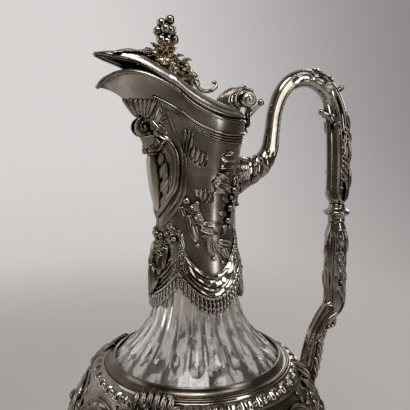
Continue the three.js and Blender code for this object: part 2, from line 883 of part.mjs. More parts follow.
function handleFootLeaf() {
  const rows = leafRows(112, 80);
  return relief(casingAt, 4, rows.length - 1, (u, v) => {
    const across = 2 * u - 1;
    const z = rows[Math.round(v * (rows.length - 1))];
    const half = 11 * Math.sin(Math.PI * (0.15 + (0.7 * (112 - z)) / 32));
    return [(half * across) / casingRadius(z), z, 0.3 + 0.9 * (1 - across ** 2)];
  });
}

// Hinge: two fixed knuckles on a bracket behind the rim, one knuckle on the lid, and the pin through all three
const knuckleMiddle = 3.5; // half length of the lid's knuckle
const knuckleEnd = 8.4;
const pinClearance = 0.3;

function hingeBracket() {
  const { x, z } = hingeAxis;
  const knuckle = (from, to) => cylinderAlongY(knuckleRadius, from, to, x, z, 12);
  const cheek = (from, to) => block(24.9, 28.2, from, to, 250.8, z - 1);
  const gapY = knuckleMiddle + seat;
  const tail = bar(
    [[25.8, 247.6], [26.5, 250.6], [28.6, 254], [32.4, 257.8], [36.6, 261.2]],
    6,
    4,
    (t) => [1.1, 11.8 - 9.6 * t],
    Math.PI / 4,
  );
  const ball = toSolid(new THREE.SphereGeometry(1.9, 6, 4).translate(37.4, 0, 262));
  const bore = cylinderAlongY(pinRadius + pinClearance, -12, 12, x, z, 12);
  const solid = fuse([
    tail,
    cheek(gapY, knuckleEnd),
    cheek(-knuckleEnd, -gapY),
    knuckle(gapY, knuckleEnd),
    knuckle(-knuckleEnd, -gapY),
    ball,
  ]).subtract(bore);
  return solid.subtract(sleeveEnvelope(1.6, 0.6, 1));
}

function hingePin() {
  const { x, z } = hingeAxis;
  const shank = cylinderAlongY(pinRadius, -knuckleEnd - 1, knuckleEnd + 1, x, z, 12);
  const head = (from, to) => cylinderAlongY(3.9, from, to, x, z, 12);
  return fuse([shank, head(knuckleEnd + seat, knuckleEnd + 1.9), head(-knuckleEnd - 1.9, -knuckleEnd - seat)]);
}

// Lid
const lidEdge = through([
  [-52, 280.2],
  [-46, 278.8],
  [-40, 277.6],
  [-35, 276.4],
  [-30, 274.2],
  [-25, 271],
  [-18, 266.7],
  [-12.3, 261.7],
  [-5, 257.3],
  [5, 254],
  [15, 253.1],
  [25, 253],
]);
const lidRidge = through([
  [-52, 282.6],
  [-46, 283.7],
  [-41, 284],
  [-36, 284],
  [-30, 282.8],
  [-22, 278.8],
  [-12, 272],
  [-4, 267],
  [2, 264],
  [10.5, 261],
  [19, 258.6],
  [25, 256.6],
]);
const lidReach = spoutReach + 1;
const lidBand = 2; // height of the lid's rim moulding
const finialX = -16;

function lidPlan(angle, inset) {
  const [x, y] = rimPlan(angle);
  const stretched = x < 0 ? (x * lidReach) / spoutReach : x;
  const shrink = 1 - inset / 14;
  const narrowed = Math.abs(x) > 20 && x < 0 ? shrink : 1 - inset / 24;
  return [stretched * (1 - inset / 42) - inset * 0.1, y * narrowed];
}

const lidHalfWidth = (x) => {
  const angle = x < 0 ? Math.acos(Math.max(x / lidReach, -1)) : Math.acos(Math.min(x / mouthRadius, 1));
  return Math.max(rimPlan(angle)[1], 0.01);
};

function lidShell() {
  const angles = roundAngles(32);
  const ring = (inset, share, lower, thin) =>
    angles.map((a) => {
      const [x, y] = lidPlan(a, inset);
      const base = lidEdge(x) + lower;
      const t = (share * Math.PI) / 2;
      return vec(x, y * Math.cos(t), base + Math.max(lidRidge(x) - thin - base, 0.2) * Math.sin(t));
    });
  const outer = [
    ring(0, 0, 0, 0),
    ring(0, 0, 1.5, 0),
    ring(0.9, 0, lidBand, 0),
    ring(0.9, 0.3, lidBand, 0),
    ring(0.9, 0.65, lidBand, 0),
    ring(0.9, 1, lidBand, 0),
  ];
  const inner = [ring(1.9, 0, 0, 1.3), ring(1.9, 0.5, 0, 1.3), ring(1.9, 1, 0, 1.3)];
  const shell = loft([...outer.reverse(), ...inner], "shut");
  const studHole = upright(1.6, 0, 320);
  return shell.subtract(studHole).subtract(block(24.4, 30, -knuckleEnd - 1, knuckleEnd + 1, 250, 270));
}

const upright = (radius, from, to, sides = 10) =>
  toSolid(
    new THREE.CylinderGeometry(radius, radius, to - from, sides)
      .rotateX(Math.PI / 2)
      .translate(finialX, 0, (from + to) / 2),
  );

// The lid's outer form grown by a clearance, used to seat what stands on it.
function lidEnvelope(grow) {
  const stations = 16;
  const rings = Array.from({ length: stations + 1 }, (_, i) => {
    const x = -50 + (74.6 * i) / stations;
    const half = lidHalfWidth(x) + grow;
    const base = lidEdge(x) + lidBand;
    const rise = lidRidge(x) - base;
    const top = [-1, -0.92, -0.7, -0.4, 0, 0.4, 0.7, 0.92, 1].map((s) =>
      vec(x, s * half, base + rise * Math.sqrt(1 - s * s) + grow),
    );
    return [...top, vec(x, half, base - 8), vec(x, -half, base - 8)];
  });
  return loft(rings);
}

function lidHingeKnuckle() {
  const { x, z } = hingeAxis;
  const barrel = cylinderAlongY(knuckleRadius, -knuckleMiddle, knuckleMiddle, x, z, 12);
  const leaf = bar(
    [[x - 1, z + 1.6], [18.6, 262.6], [13, 262.8], [7, 264.6]],
    6,
    4,
    (t) => [1.3, 4.8 - 1.6 * t],
    Math.PI / 4,
  );
  const bore = cylinderAlongY(pinRadius + pinClearance, -12, 12, x, z, 12);
  return fuse([barrel, leaf]).subtract(bore).subtract(lidEnvelope(seat));
}

// The shell scroll over the hinge that the thumb presses
function thumbScroll() {
  const { x, z } = hingeAxis;
  const route = [
    [12.8, 259.6],
    [14.6, 264.2],
    [x - 7, z + 5],
    [x - 2.6, z + 6.4],
    [x + 1.8, z + 6.2],
    [x + 4.8, z + 4.2],
    [x + 6, z + 1.8],
  ];
  const scroll = bar(route, 12, 4, (t) => [0.9, 6 + 4 * Math.sin(Math.PI * (0.1 + 0.8 * t))], Math.PI / 4);
  return scroll.subtract(lidEnvelope(seat)).subtract(block(5, 21, -5.3, 5.3, 255, 264.5));
}

// Finial: grapes on a spray of vine leaves, with a stud through the lid and a nut below it
const grapeRadius = 2.45;
function grapeFinial() {
  const places = [
    [-17.8, 0.8, 298.6],
    [-13.8, -0.4, 300.2],
    [-19.8, 0.4, 294.6],
    [-14.4, -2.4, 294.8],
    [-12.4, 0.8, 295.4],
    [-18.8, -1.6, 290.4],
    [-16, 2.6, 296.6],
    [-17.4, 3.2, 291.6],
    [-11.8, -0.6, 291],
  ];
  const grapes = places.map(([x, y, z]) =>
    toSolid(new THREE.SphereGeometry(grapeRadius, 6, 4).rotateX(Math.PI / 2).translate(x, y, z)),
  );
  const core = toSolid(new THREE.SphereGeometry(1, 6, 4).scale(2.6, 2.4, 6.4).translate(-15.4, 0.4, 293.4));
  return fuse([...grapes, core, upright(1.2, 266.6, 291, 6)]);
}

function vineLeaf() {
  const half = [[0, 0], [3.8, 0.6], [3.4, 3], [6, 5.6], [3, 7.2], [0, 11]];
  const outline = [...half, ...half.slice(1, -1).reverse().map(([x, y]) => [-x, y])];
  const shape = new THREE.Shape(outline.map(([x, y]) => new THREE.Vector2(x, y)));
  return new THREE.ExtrudeGeometry(shape, { depth: 1.1, bevelEnabled: false });
}

function vineLeafSpray() {
  const placed = [
    [-24, -2.4, 283, 200, -4, 1],
    [-24, 2.4, 283, 160, -4, 1],
    [-19, 0, 285, 180, 34, 0.85],
    [-17, -4, 283, 255, -20, 0.9],
    [-17, 4, 283, 105, -20, 0.9],
    [-9, -3.6, 278, 305, -22, 0.95],
    [-9, 3.6, 278, 55, -22, 0.95],
    [-8, 0, 280, 0, -30, 0.95],
  ].map(([x, y, z, heading, rise, scale]) => {
    const geometry = vineLeaf().scale(scale, scale, 1).translate(0, -1, -0.5).rotateX(degrees(rise));
    return toSolid(geometry.rotateZ(degrees(heading - 90)).translate(x, y, z));
  });
  const boss = toSolid(
    new THREE.SphereGeometry(1, 8, 6).scale(13.5, 6.8, 7.6).rotateY(degrees(28)).translate(-15, 0, 279),
  );
  const grapeRoom = toSolid(new THREE.SphereGeometry(1, 8, 6).scale(9.4, 7.2, 6.6).translate(-15, 0.6, 292.6));
  const stud = upright(1.55, 240, 320, 6);
  return fuse([...placed, boss]).subtract(lidEnvelope(0.5)).subtract(stud).subtract(grapeRoom);
}

function vineTendril() {
  const route = [
    [1.2, 0, 268.6],
    [3.2, -0.1, 267.2],
    [6, -0.3, 266.8],
    [8.8, -0.6, 267.8],
    [10.9, -0.4, 270],
    [10.2, 0.5, 272.2],
    [8.4, 0.9, 271.6],
  ];
  return tube(route.map(([x, y, z]) => vec(x, y, z)), 10, 4, 0.95);
}

function finialNut() {
  const top = lidRidge(finialX) - 1.3 - 3.4;
  return upright(3.1, top - 2.2, top, 6).subtract(upright(1.5, top - 4, top + 2));
}

// Assembly
const jug = new THREE.Group();
const vessel = new THREE.Group();
const lid = new THREE.Group();
jug.add(vessel, lid);

function place(group, name, solid, material = silver) {
  const mesh = new THREE.Mesh(toGeometry(solid), material);
  mesh.name = name;
  group.add(mesh);
}

place(vessel, "glass_vessel", glassVessel(), crystal);
place(vessel, "body_casing", bodyCasing());
place(vessel, "shoulder_ring", shoulderRing());
place(vessel, "bead_and_reel_band", beadAndReelBand());
place(vessel, "neck_sleeve", neckSleeve());
place(vessel, "spout_rim_wire", spoutRimWire());
place(vessel, "reeded_band", reededBand());
place(vessel, "cartouche_frame", cartoucheFrame(), wornSilver);
place(vessel, "cartouche_panel", cartouchePanel(), wornSilver);
place(vessel, "crest_volute", crestVolute(), wornSilver);
place(vessel, "crest_shell", crestShell(), wornSilver);
place(vessel, "spout_fan", spoutFan(), wornSilver);
place(vessel, "cartouche_pendant", cartouchePendant(), wornSilver);
place(vessel, "drapery_swags", draperySwags());
place(vessel, "drapery_leaf", draperyLeaf(), wornSilver);
place(vessel, "bullion_fringe", bullionFringe());

for (const [name, side] of [["left", 1], ["right", -1]]) {
  place(vessel, `cartouche_leaf_${name}`, cartoucheLeaf(side), wornSilver);
  place(vessel, `upper_ribbon_${name}`, upperRibbon(side));
  place(vessel, `lower_ribbon_${name}`, lowerRibbon(side));
  place(vessel, `laurel_spray_${name}`, laurelSpray(side));
  place(vessel, `husk_string_${name}`, huskString(side));
  place(vessel, `front_volute_${name}`, voluteMedallion(front + side * degrees(17.5), 106.5, 12.5));
  place(vessel, `side_volute_${name}`, voluteMedallion(front + side * degrees(118), 106.5, 12.5));
  place(vessel, `acanthus_${name}`, acanthusLeaf(front + side * degrees(42.5), 118, 37, 10));
  place(vessel, `flank_acanthus_${name}`, acanthusLeaf(front + side * degrees(80), 118, 37, 12));
  place(vessel, `rear_acanthus_${name}`, acanthusLeaf(front + side * degrees(148), 118, 37, 9.5));
}

place(vessel, "stem_cup", stemCup());
place(vessel, "stem_knop", stemKnop());
place(vessel, "foot_dome", footDome());
place(vessel, "foot_base_plate", footBasePlate());
place(vessel, "handle_root_leaf", handleRootLeaf(), wornSilver);
place(vessel, "handle_upper_arm", handleUpperArm());
place(vessel, "handle_knop", handleKnop());
place(vessel, "handle_lower_arm", handleLowerArm());
place(vessel, "handle_foot_leaf", handleFootLeaf());
place(vessel, "hinge_bracket", hingeBracket());
place(vessel, "hinge_pin", hingePin());

place(lid, "lid_shell", lidShell());
place(lid, "lid_hinge_knuckle", lidHingeKnuckle());
place(lid, "thumb_scroll", thumbScroll());
place(lid, "vine_leaf_spray", vineLeafSpray(), wornSilver);
place(lid, "grape_finial", grapeFinial());
place(lid, "vine_tendril", vineTendril());
place(lid, "finial_nut", finialNut());

export default jug;
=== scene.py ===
import math
import random

import bmesh
import bpy
import numpy as np
from mathutils import Matrix, Vector


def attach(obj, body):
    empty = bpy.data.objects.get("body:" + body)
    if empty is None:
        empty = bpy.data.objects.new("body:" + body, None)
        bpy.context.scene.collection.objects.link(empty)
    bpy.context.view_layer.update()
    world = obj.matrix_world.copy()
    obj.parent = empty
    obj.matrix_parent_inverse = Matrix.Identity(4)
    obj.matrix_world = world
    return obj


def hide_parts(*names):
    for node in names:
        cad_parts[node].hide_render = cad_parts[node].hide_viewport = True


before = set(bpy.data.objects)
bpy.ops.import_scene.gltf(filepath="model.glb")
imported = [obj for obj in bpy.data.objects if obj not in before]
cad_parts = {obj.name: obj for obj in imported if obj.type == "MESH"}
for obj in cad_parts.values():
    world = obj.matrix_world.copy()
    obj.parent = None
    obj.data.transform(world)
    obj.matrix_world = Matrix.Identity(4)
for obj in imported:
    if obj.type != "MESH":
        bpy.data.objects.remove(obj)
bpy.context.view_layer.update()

mm = 0.001
fullTurn = 2 * math.pi
weldDistance = 2e-6

# curves and grids shared by the pieces


def curveThrough(points):
    # smooth curve y(x) through points in rising order of x
    xs, ys = np.array(points, float).T
    ends = np.arange(len(xs))
    before, after = np.maximum(ends - 1, 0), np.minimum(ends + 1, len(xs) - 1)
    slopes = (ys[after] - ys[before]) / (xs[after] - xs[before])

    def at(x):
        x = np.asarray(x, float)
        i = np.clip(np.searchsorted(xs, x) - 1, 0, len(xs) - 2)
        w = xs[i + 1] - xs[i]
        t = np.clip((x - xs[i]) / w, 0, 1)
        rise = ys[i + 1] - ys[i]
        bend = (w * slopes[i] - rise) * (1 - t) + (rise - w * slopes[i + 1]) * t
        return ys[i] + rise * t + t * (1 - t) * bend

    return at


def pathThrough(points):
    # the same for a path of points of any dimension, run through from 0 to 1
    points = np.array(points, float)
    steps = np.linalg.norm(np.diff(points, axis=0), axis=1)
    along = np.concatenate([[0], np.cumsum(steps)]) / steps.sum()
    curves = [curveThrough(np.column_stack([along, column])) for column in points.T]
    return lambda t: np.stack([curve(t) for curve in curves], axis=-1)


def addGrid(bm, columns, rows, place, outward="axis", closed=False):
    # a flat grid laid onto place(u, v), which gives points in mm
    made = bmesh.ops.create_grid(bm, x_segments=columns, y_segments=rows, size=0.5)["verts"]
    flat = np.array([vert.co[:2] for vert in made])
    flat = (flat - flat.min(0)) / (flat.max(0) - flat.min(0))
    spots = place(flat[:, 0], flat[:, 1]) * mm
    for vert, spot in zip(made, spots.tolist()):
        vert.co = spot
    faces = list({face for vert in made for face in vert.link_faces})
    middle = Vector(spots.mean(0))
    facing = 0
    for face in faces:
        face.normal_update()
        centre = face.calc_center_median()
        if outward == "axis":
            away = Vector((centre.x, centre.y, 0)).normalized()
        elif outward == "middle":
            away = (centre - middle).normalized()
        else:
            away = outward
        facing += face.normal.dot(away) * face.calc_area()
    if facing < 0:
        bmesh.ops.reverse_faces(bm, faces=faces)
    if closed:
        bmesh.ops.remove_doubles(bm, verts=made, dist=weldDistance)
    return made


def stack(*columns):
    return np.stack(np.broadcast_arrays(*columns), axis=-1).astype(float)


def ridge(v, middle, width):
    # a round ridge of height 1 across v
    return np.clip(1 - ((v - middle) / width) ** 2, 0, 1) ** 0.5


def bump(v, middle, width):
    return np.exp(-(((v - middle) / width) ** 2))


def domed(x):
    return np.sqrt(np.clip(1 - x ** 2, 0, 1))


def alternate(phase, sharpness=1.0):
    # rounded ridges of height 1 side by side, one for each whole number of phase
    return np.abs(np.sin(math.pi * phase)) ** sharpness


def arch(x):
    # 0 at both ends of 0 to 1, and 1 in the middle
    return np.sin(math.pi * np.clip(x, 0, 1))


def unit(vectors):
    return vectors / np.linalg.norm(vectors, axis=-1, keepdims=True)


def headingAlong(path, t, step):
    # the direction that a path runs in at t
    return unit(path(np.minimum(t + step, 1)) - path(np.maximum(t - step, 0)))


def around(r, angle, z):
    # points at a distance and an angle round the jug's axis
    return stack(r * np.cos(angle), r * np.sin(angle), z)


def sunk(lift, depth, *shares):
    # a grid's lifts, with its border sunk into what it lies on
    border = np.any([(share < 1e-3) | (share > 1 - 1e-3) for share in shares], axis=0)
    return np.where(border, depth, lift)


def addBall(bm, spot, size, detail=3):
    place = Matrix.Translation(Vector(spot) * mm)
    bmesh.ops.create_icosphere(bm, subdivisions=detail, radius=size * mm, matrix=place)


def addObject(name, data):
    item = bpy.data.objects.new(name, data)
    bpy.context.scene.collection.objects.link(item)
    return item


# materials: colours of the plain metal, of its patches and of the dirt in its recesses, and how far in mm
# from another surface a recess starts

silverLook = {
    "plain": (0.5, 0.465, 0.42, 1), "shaded": (0.32, 0.285, 0.245, 1), "recess": (0.022, 0.018, 0.015, 1),
    "roughness": 0.08, "depth": 2.6,
}
plateLook = {
    "plain": (0.6, 0.56, 0.505, 1), "shaded": (0.35, 0.31, 0.265, 1), "recess": (0.022, 0.018, 0.015, 1),
    "roughness": 0.19, "depth": 2.6,
}
gildedLook = {
    "plain": (0.5, 0.45, 0.37, 1), "shaded": (0.3, 0.262, 0.205, 1), "recess": (0.03, 0.022, 0.014, 1),
    "roughness": 0.12, "depth": 2.6,
}
crispLook = {
    "plain": (0.62, 0.585, 0.535, 1), "shaded": (0.42, 0.38, 0.335, 1), "recess": (0.03, 0.025, 0.02, 1),
    "roughness": 0.09, "depth": 1.1,
}
bodyLook = {
    "plain": (0.37, 0.335, 0.29, 1), "shaded": (0.2, 0.172, 0.145, 1), "recess": (0.02, 0.016, 0.013, 1),
    "roughness": 0.09, "depth": 3,
}
# the casing's inside is painted near white, far lighter than the silver outside: painted light standing in for the
# light that the glass keeps from it
liningPaintedLightLook = {
    "plain": (0.93, 0.915, 0.89, 1), "shaded": (0.85, 0.82, 0.78, 1), "recess": (0.5, 0.45, 0.4, 1),
    "roughness": 0.35, "depth": 0.3,
}
vineLook = {
    "plain": (0.7, 0.61, 0.47, 1), "shaded": (0.45, 0.37, 0.27, 1), "recess": (0.04, 0.03, 0.018, 1),
    "roughness": 0.15, "depth": 1.3,
}
# the cartouche's field is painted pale cream, brighter than its silver: a painted reflection of the light backdrop
reflectionCreamLook = {
    "plain": (0.78, 0.73, 0.65, 1), "shaded": (0.6, 0.54, 0.46, 1), "recess": (0.1, 0.08, 0.06, 1),
    "roughness": 0.3, "depth": 1.5,
}
coveLook = {
    "plain": (0.27, 0.235, 0.195, 1), "shaded": (0.15, 0.125, 0.1, 1), "recess": (0.02, 0.016, 0.013, 1),
    "roughness": 0.2, "depth": 2,
}
metalGrain = {"patches": 70, "wear": 220, "dents": 160, "chasing": 5000, "leastWear": 0.7, "mostWear": 1.9}
glassLook = {
    "colour": (0.975, 0.95, 0.915, 1), "roughness": 0.015, "ior": 1.55,
    # how clear the ridges are, and the cut flutes between them where milky white is painted as a reflection, and the
    # heights in m where that painted reflection ends
    "clear": 0.96, "cut": 0.42, "flutes": 24, "paintedReflection": (0.162, 0.146),
}


def feed(tree, node, inputs):
    # sets each socket to a value, or links it to an output
    for socket, value in inputs.items():
        if isinstance(value, bpy.types.NodeSocket):
            tree.links.new(value, node.inputs[socket])
        else:
            node.inputs[socket].default_value = value


def addNode(tree, kind, inputs, operation=None):
    node = tree.nodes.new("ShaderNode" + kind)
    if operation:
        node.operation = operation
    feed(tree, node, inputs)
    return node


def placeIn(tree, output="Object"):
    return tree.nodes.new("ShaderNodeTexCoord").outputs[output]


def mathOf(tree, operation, *inputs):
    return addNode(tree, "Math", dict(enumerate(inputs)), operation).outputs["Value"]


def mixColour(tree, factor, a, b):
    node = tree.nodes.new("ShaderNodeMix")
    node.data_type = "RGBA"
    feed(tree, node, {"Factor": factor, 6: a, 7: b})
    return node.outputs[2]


def noiseOf(tree, scale, detail, stretch=(1, 1, 1)):
    mapping = addNode(tree, "Mapping", {"Scale": stretch, "Vector": placeIn(tree)})
    noise = addNode(tree, "TexNoise", {"Scale": scale, "Detail": detail, "Vector": mapping.outputs["Vector"]})
    return noise.outputs["Fac"]


def rampOf(tree, source, low, high):
    ramp = addNode(tree, "MapRange", {"From Min": low, "From Max": high, "Value": source})
    ramp.interpolation_type = "SMOOTHSTEP"
    return ramp.outputs["Result"]


def rangeOf(tree, source, low, high):
    return addNode(tree, "MapRange", {"To Min": low, "To Max": high, "Value": source}).outputs["Result"]


def bumpOf(tree, strength, distance, height):
    inputs = {"Strength": strength, "Distance": distance * mm, "Height": height}
    return addNode(tree, "Bump", inputs).outputs["Normal"]


def newMaterial(name):
    material = bpy.data.materials.new(name)
    material.use_nodes = True
    return material, material.node_tree, material.node_tree.nodes["Principled BSDF"]


def metalMaterial(name, look, chased=0.0, alone=False):
    # alone: recesses darken only where the piece itself is near
    material, tree, shader = newMaterial(name)
    patches = rampOf(tree, noiseOf(tree, metalGrain["patches"], 5), 0.38, 0.66)
    tone = mixColour(tree, patches, look["shaded"], look["plain"])
    hollow = addNode(tree, "AmbientOcclusion", {"Distance": look["depth"] * mm})
    hollow.samples = 8
    hollow.only_local = alone
    clearing = rampOf(tree, hollow.outputs["AO"], 0.42, 0.9)
    wear = noiseOf(tree, metalGrain["wear"], 6, (1, 1, 0.35))
    dents = noiseOf(tree, metalGrain["dents"] + metalGrain["chasing"] * chased, 3)
    feed(tree, shader, {
        "Metallic": 1,
        "Base Color": mixColour(tree, clearing, look["recess"], tone),
        "Roughness": rangeOf(
            tree, wear, look["roughness"] * metalGrain["leastWear"], look["roughness"] * metalGrain["mostWear"],
        ),
        "Normal": bumpOf(tree, 0.12 + 1.6 * chased, 0.3, dents),
    })
    return material


def glassMaterial(name, look):
    material, tree, shader = newMaterial(name)
    split = addNode(tree, "SeparateXYZ", {"Vector": placeIn(tree)})
    turn = mathOf(tree, "ARCTAN2", split.outputs["Y"], split.outputs["X"])
    flute = mathOf(tree, "PINGPONG", mathOf(tree, "MULTIPLY", turn, look["flutes"] / fullTurn), 0.5)
    # painted reflection: milky white in the flutes, low on the neck and in patches
    paintedReflection = rampOf(tree, flute, 0.12, 0.24)
    low = rampOf(tree, split.outputs["Z"], *look["paintedReflection"])
    patches = rampOf(tree, noiseOf(tree, 210, 3, (1, 1, 0.3)), 0.42, 0.56)
    for share in (low, patches):
        paintedReflection = mathOf(tree, "MULTIPLY", paintedReflection, share)
    feed(tree, shader, {
        "Base Color": look["colour"],
        "Roughness": look["roughness"],
        "IOR": look["ior"],
        "Transmission Weight": rangeOf(tree, paintedReflection, look["clear"], look["cut"]),
        "Normal": bumpOf(tree, 0.08, 0.4, noiseOf(tree, 90, 2, (1, 1, 0.3))),
    })
    return material


silver = metalMaterial("polished_silver", silverLook)
chasedSilver = metalMaterial("chased_silver", bodyLook, chased=0.2)
crispSilver = metalMaterial("crisp_silver", crispLook)
coveSilver = metalMaterial("cove_silver", coveLook)
lining = metalMaterial("lining_painted_light", liningPaintedLightLook)
plate = metalMaterial("worn_plate", plateLook)
casingSilver = metalMaterial("casing_silver", bodyLook, chased=0.2, alone=True)
gilded = metalMaterial("gilded_silver", gildedLook, chased=0.03)
vineGilt = metalMaterial("vine_gilding", vineLook, chased=0.02)
reflectionCream = metalMaterial("cartouche_painted_reflection", reflectionCreamLook)
crystal = glassMaterial("cut_crystal", glassLook)
print("materials made")

# finished pieces


def finishPiece(name, bm, nodes, material=silver, body="vessel", wall=0, slot="silver"):
    mesh = bpy.data.meshes.new(name)
    bm.to_mesh(mesh)
    bm.free()
    mesh.materials.append(material)
    mesh.polygons.foreach_set("use_smooth", [True] * len(mesh.polygons))
    piece = addObject(name, mesh)
    if wall:
        modifier = piece.modifiers.new("wall", "SOLIDIFY")
        modifier.thickness = wall * mm
        modifier.offset = -1
    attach(piece, body)
    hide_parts(*nodes)
    return piece


def gridPiece(name, nodes, columns, rows, place, outward="axis", closed=True, turned=False, **finish):
    # a piece of one grid, with its normals turned outwards at the end where it closes on itself
    bm = bmesh.new()
    addGrid(bm, columns, rows, place, outward, closed)
    if turned:
        bmesh.ops.recalc_face_normals(bm, faces=bm.faces)
    finishPiece(name, bm, nodes, **finish)


# camera, light and stage

view = {
    "lens": 45.66,
    "distance": 268.4 * mm,
    "height": 244.8 * mm,
    "azimuth": -22.5,
    "pitch": 7.68,
    "yaw": 0.95,
}


def aim(item, direction):
    item.rotation_euler = direction.to_track_quat("-Z", "Y").to_euler()


def makeCamera():
    turned = math.radians(view["azimuth"])
    place = Vector((math.sin(turned), -math.cos(turned), 0)) * view["distance"]
    place.z = view["height"]
    heading, pitch = math.radians(view["azimuth"] - view["yaw"]), math.radians(view["pitch"])
    level = math.cos(pitch)
    data = bpy.data.cameras.new("camera")
    data.lens = view["lens"]
    data.sensor_width = 36
    data.clip_start = 0.01
    camera = addObject("camera", data)
    camera.location = place
    aim(camera, Vector((-math.sin(heading) * level, math.cos(heading) * level, -math.sin(pitch))))
    bpy.context.scene.camera = camera


lamps = {
    "top": {"place": (-0.2, -0.35, 0.95), "size": (0.5, 0.4), "power": 2.8},
    "window": {"place": (-0.9, 0.25, 0.36), "size": (0.4, 0.6), "power": 0.8},
    "side": {"place": (0.45, -0.8, 0.32), "size": (0.24, 0.6), "power": 1.0},
    "back": {"place": (0.7, 0.6, 0.5), "size": (0.4, 0.5), "power": 1.4},
    "upper": {"place": (0.3, -0.55, 0.85), "size": (0.35, 0.35), "power": 0.85},
}
room = {
    # the backdrop that the camera sees, from light to dim and low down
    "light": (0.69, 0.665, 0.655, 1), "dim": (0.235, 0.215, 0.215, 1), "low": (0.47, 0.44, 0.42, 1),
    # what the metal shows of the room before and behind the jug
    "front": (0.08, 0.066, 0.056, 1), "rear": (0.5, 0.48, 0.46, 1),
    "dimSide": (0.92, -0.38, 0.28),
}
floorLook = {"colour": (0.77, 0.735, 0.71, 1), "roughness": 0.8, "radius": 1.4, "fade": (0.22, 0.85)}


def makeLamps():
    for name, lamp in lamps.items():
        data = bpy.data.lights.new(name, "AREA")
        data.shape = "ELLIPSE"
        data.size, data.size_y = lamp["size"]
        data.energy = lamp["power"]
        item = addObject(name, data)
        item.location = lamp["place"]
        aim(item, Vector((0, 0, 0.2)) - item.location)


def makeRoom():
    world = bpy.data.worlds.new("room")
    bpy.context.scene.world = world
    world.use_nodes = True
    tree = world.node_tree
    towards = placeIn(tree, "Generated")
    split = addNode(tree, "SeparateXYZ", {"Vector": towards})
    nearby = mixColour(tree, rampOf(tree, split.outputs["Y"], -0.1, 0.95), room["front"], room["rear"])
    sideways = addNode(tree, "VectorMath", {1: room["dimSide"], 0: towards}, "DOT_PRODUCT").outputs["Value"]
    wall = mixColour(tree, rampOf(tree, sideways, -0.2, 0.55), room["light"], room["dim"])
    down = mathOf(tree, "MULTIPLY", split.outputs["Z"], -1)
    wall = mixColour(tree, rampOf(tree, down, -0.05, 0.6), wall, room["low"])
    rays = tree.nodes.new("ShaderNodeLightPath")
    direct = mathOf(tree, "MAXIMUM", rays.outputs["Is Camera Ray"], rays.outputs["Is Transmission Ray"])
    feed(tree, tree.nodes["Background"], {"Color": mixColour(tree, direct, nearby, wall)})


def makeFloor():
    bm = bmesh.new()
    bmesh.ops.create_circle(bm, cap_ends=True, segments=96, radius=floorLook["radius"])
    mesh = bpy.data.meshes.new("floor")
    bm.to_mesh(mesh)
    bm.free()
    material, tree, shader = newMaterial("pale_floor")
    feed(tree, shader, {"Base Color": floorLook["colour"], "Roughness": floorLook["roughness"]})
    away = addNode(tree, "VectorMath", {0: placeIn(tree)}, "LENGTH").outputs["Value"]
    clear = tree.nodes.new("ShaderNodeBsdfTransparent").outputs["BSDF"]
    fade = rampOf(tree, away, *floorLook["fade"])
    blend = addNode(tree, "MixShader", {"Fac": fade, 1: shader.outputs["BSDF"], 2: clear})
    feed(tree, tree.nodes["Material Output"], {"Surface": blend.outputs["Shader"]})
    mesh.materials.append(material)
    floor = addObject("floor", mesh)


makeCamera()
makeLamps()
makeRoom()
makeFloor()
bpy.context.scene.view_settings.view_transform = "Standard"
print("stage set")

# neck surface that the ornaments lie on

neck = {
    "foot": 176, "flareStart": 225, "flareRadius": 20.9, "sheet": 1.2,
    "mouthRadius": 25, "spoutReach": 51, "spoutNarrowing": 0.64, "wireRadius": 1.1, "ornamentRadius": 21.5,
}
neckRadius = curveThrough([(176, 21.7), (185, 20.9), (195, 20.45), (205, 20.3), (215, 20.5), (225, 20.9)])
rimHeight = curveThrough([
    (-51, 266.5), (-48.3, 269.6), (-44.5, 272.2), (-40, 273.6), (-36, 273.9), (-31, 272.8), (-25, 270),
    (-18, 265.9), (-12.3, 260.8), (-5, 256.4), (5, 253.1), (15, 252.3), (25, 252.3),
])


def rimPlan(angle):
    ahead = np.maximum(-np.cos(angle), 0)
    reach = np.where(np.cos(angle) > 0, neck["mouthRadius"], neck["spoutReach"])
    across = neck["mouthRadius"] * np.sin(angle) * (1 - neck["spoutNarrowing"] * ahead ** 2)
    return reach * np.cos(angle), across


def neckPoint(angle, share):
    # share runs from 0 at the foot, through 0.5 where the flare starts, to 1 at the rim
    angle, share = np.broadcast_arrays(angle, share)
    z = neck["foot"] + np.minimum(share / 0.5, 1) * (neck["flareStart"] - neck["foot"])
    r = neckRadius(z)
    low = around(r, angle, z)
    x, y = rimPlan(angle)
    ahead = np.maximum(-np.cos(angle), 0) ** 2.5
    out = stack(np.cos(angle), np.sin(angle), 0 * angle)
    up = np.array([0, 0, 1.0])
    start = out * neck["flareRadius"] + up * neck["flareStart"]
    end = stack(x, y, rimHeight(x))
    leave = start + out * (0.9 + 0.7 * ahead)[..., None] + up * (9.5 + 10.5 * ahead)[..., None]
    arrive = end - out * (0.5 + 14.5 * ahead)[..., None] + up * (9 * ahead - 7.5)[..., None]
    t = np.clip((share - 0.5) / 0.5, 0, 1)[..., None]
    high = start * (1 - t) ** 3 + 3 * leave * t * (1 - t) ** 2 + 3 * arrive * t ** 2 * (1 - t) + end * t ** 3
    return np.where((share <= 0.5)[..., None], low, high)


def neckNormal(angle, share):
    step = 0.005
    held = np.clip(share, step, 1 - step)
    across = neckPoint(angle + step, share) - neckPoint(angle - step, share)
    upward = neckPoint(angle, held + step) - neckPoint(angle, held - step)
    return unit(np.cross(across, upward))


def onShare(angle, share, lift):
    return neckPoint(angle, share) + neckNormal(angle, share) * np.asarray(lift, float)[..., None]


def shareAt(angle, z):
    low, high = np.zeros_like(angle), np.full_like(angle, 0.98)
    for _ in range(18):
        middle = (low + high) / 2
        below = neckPoint(angle, middle)[..., 2] < z
        low, high = np.where(below, middle, low), np.where(below, high, middle)
    return (low + high) / 2


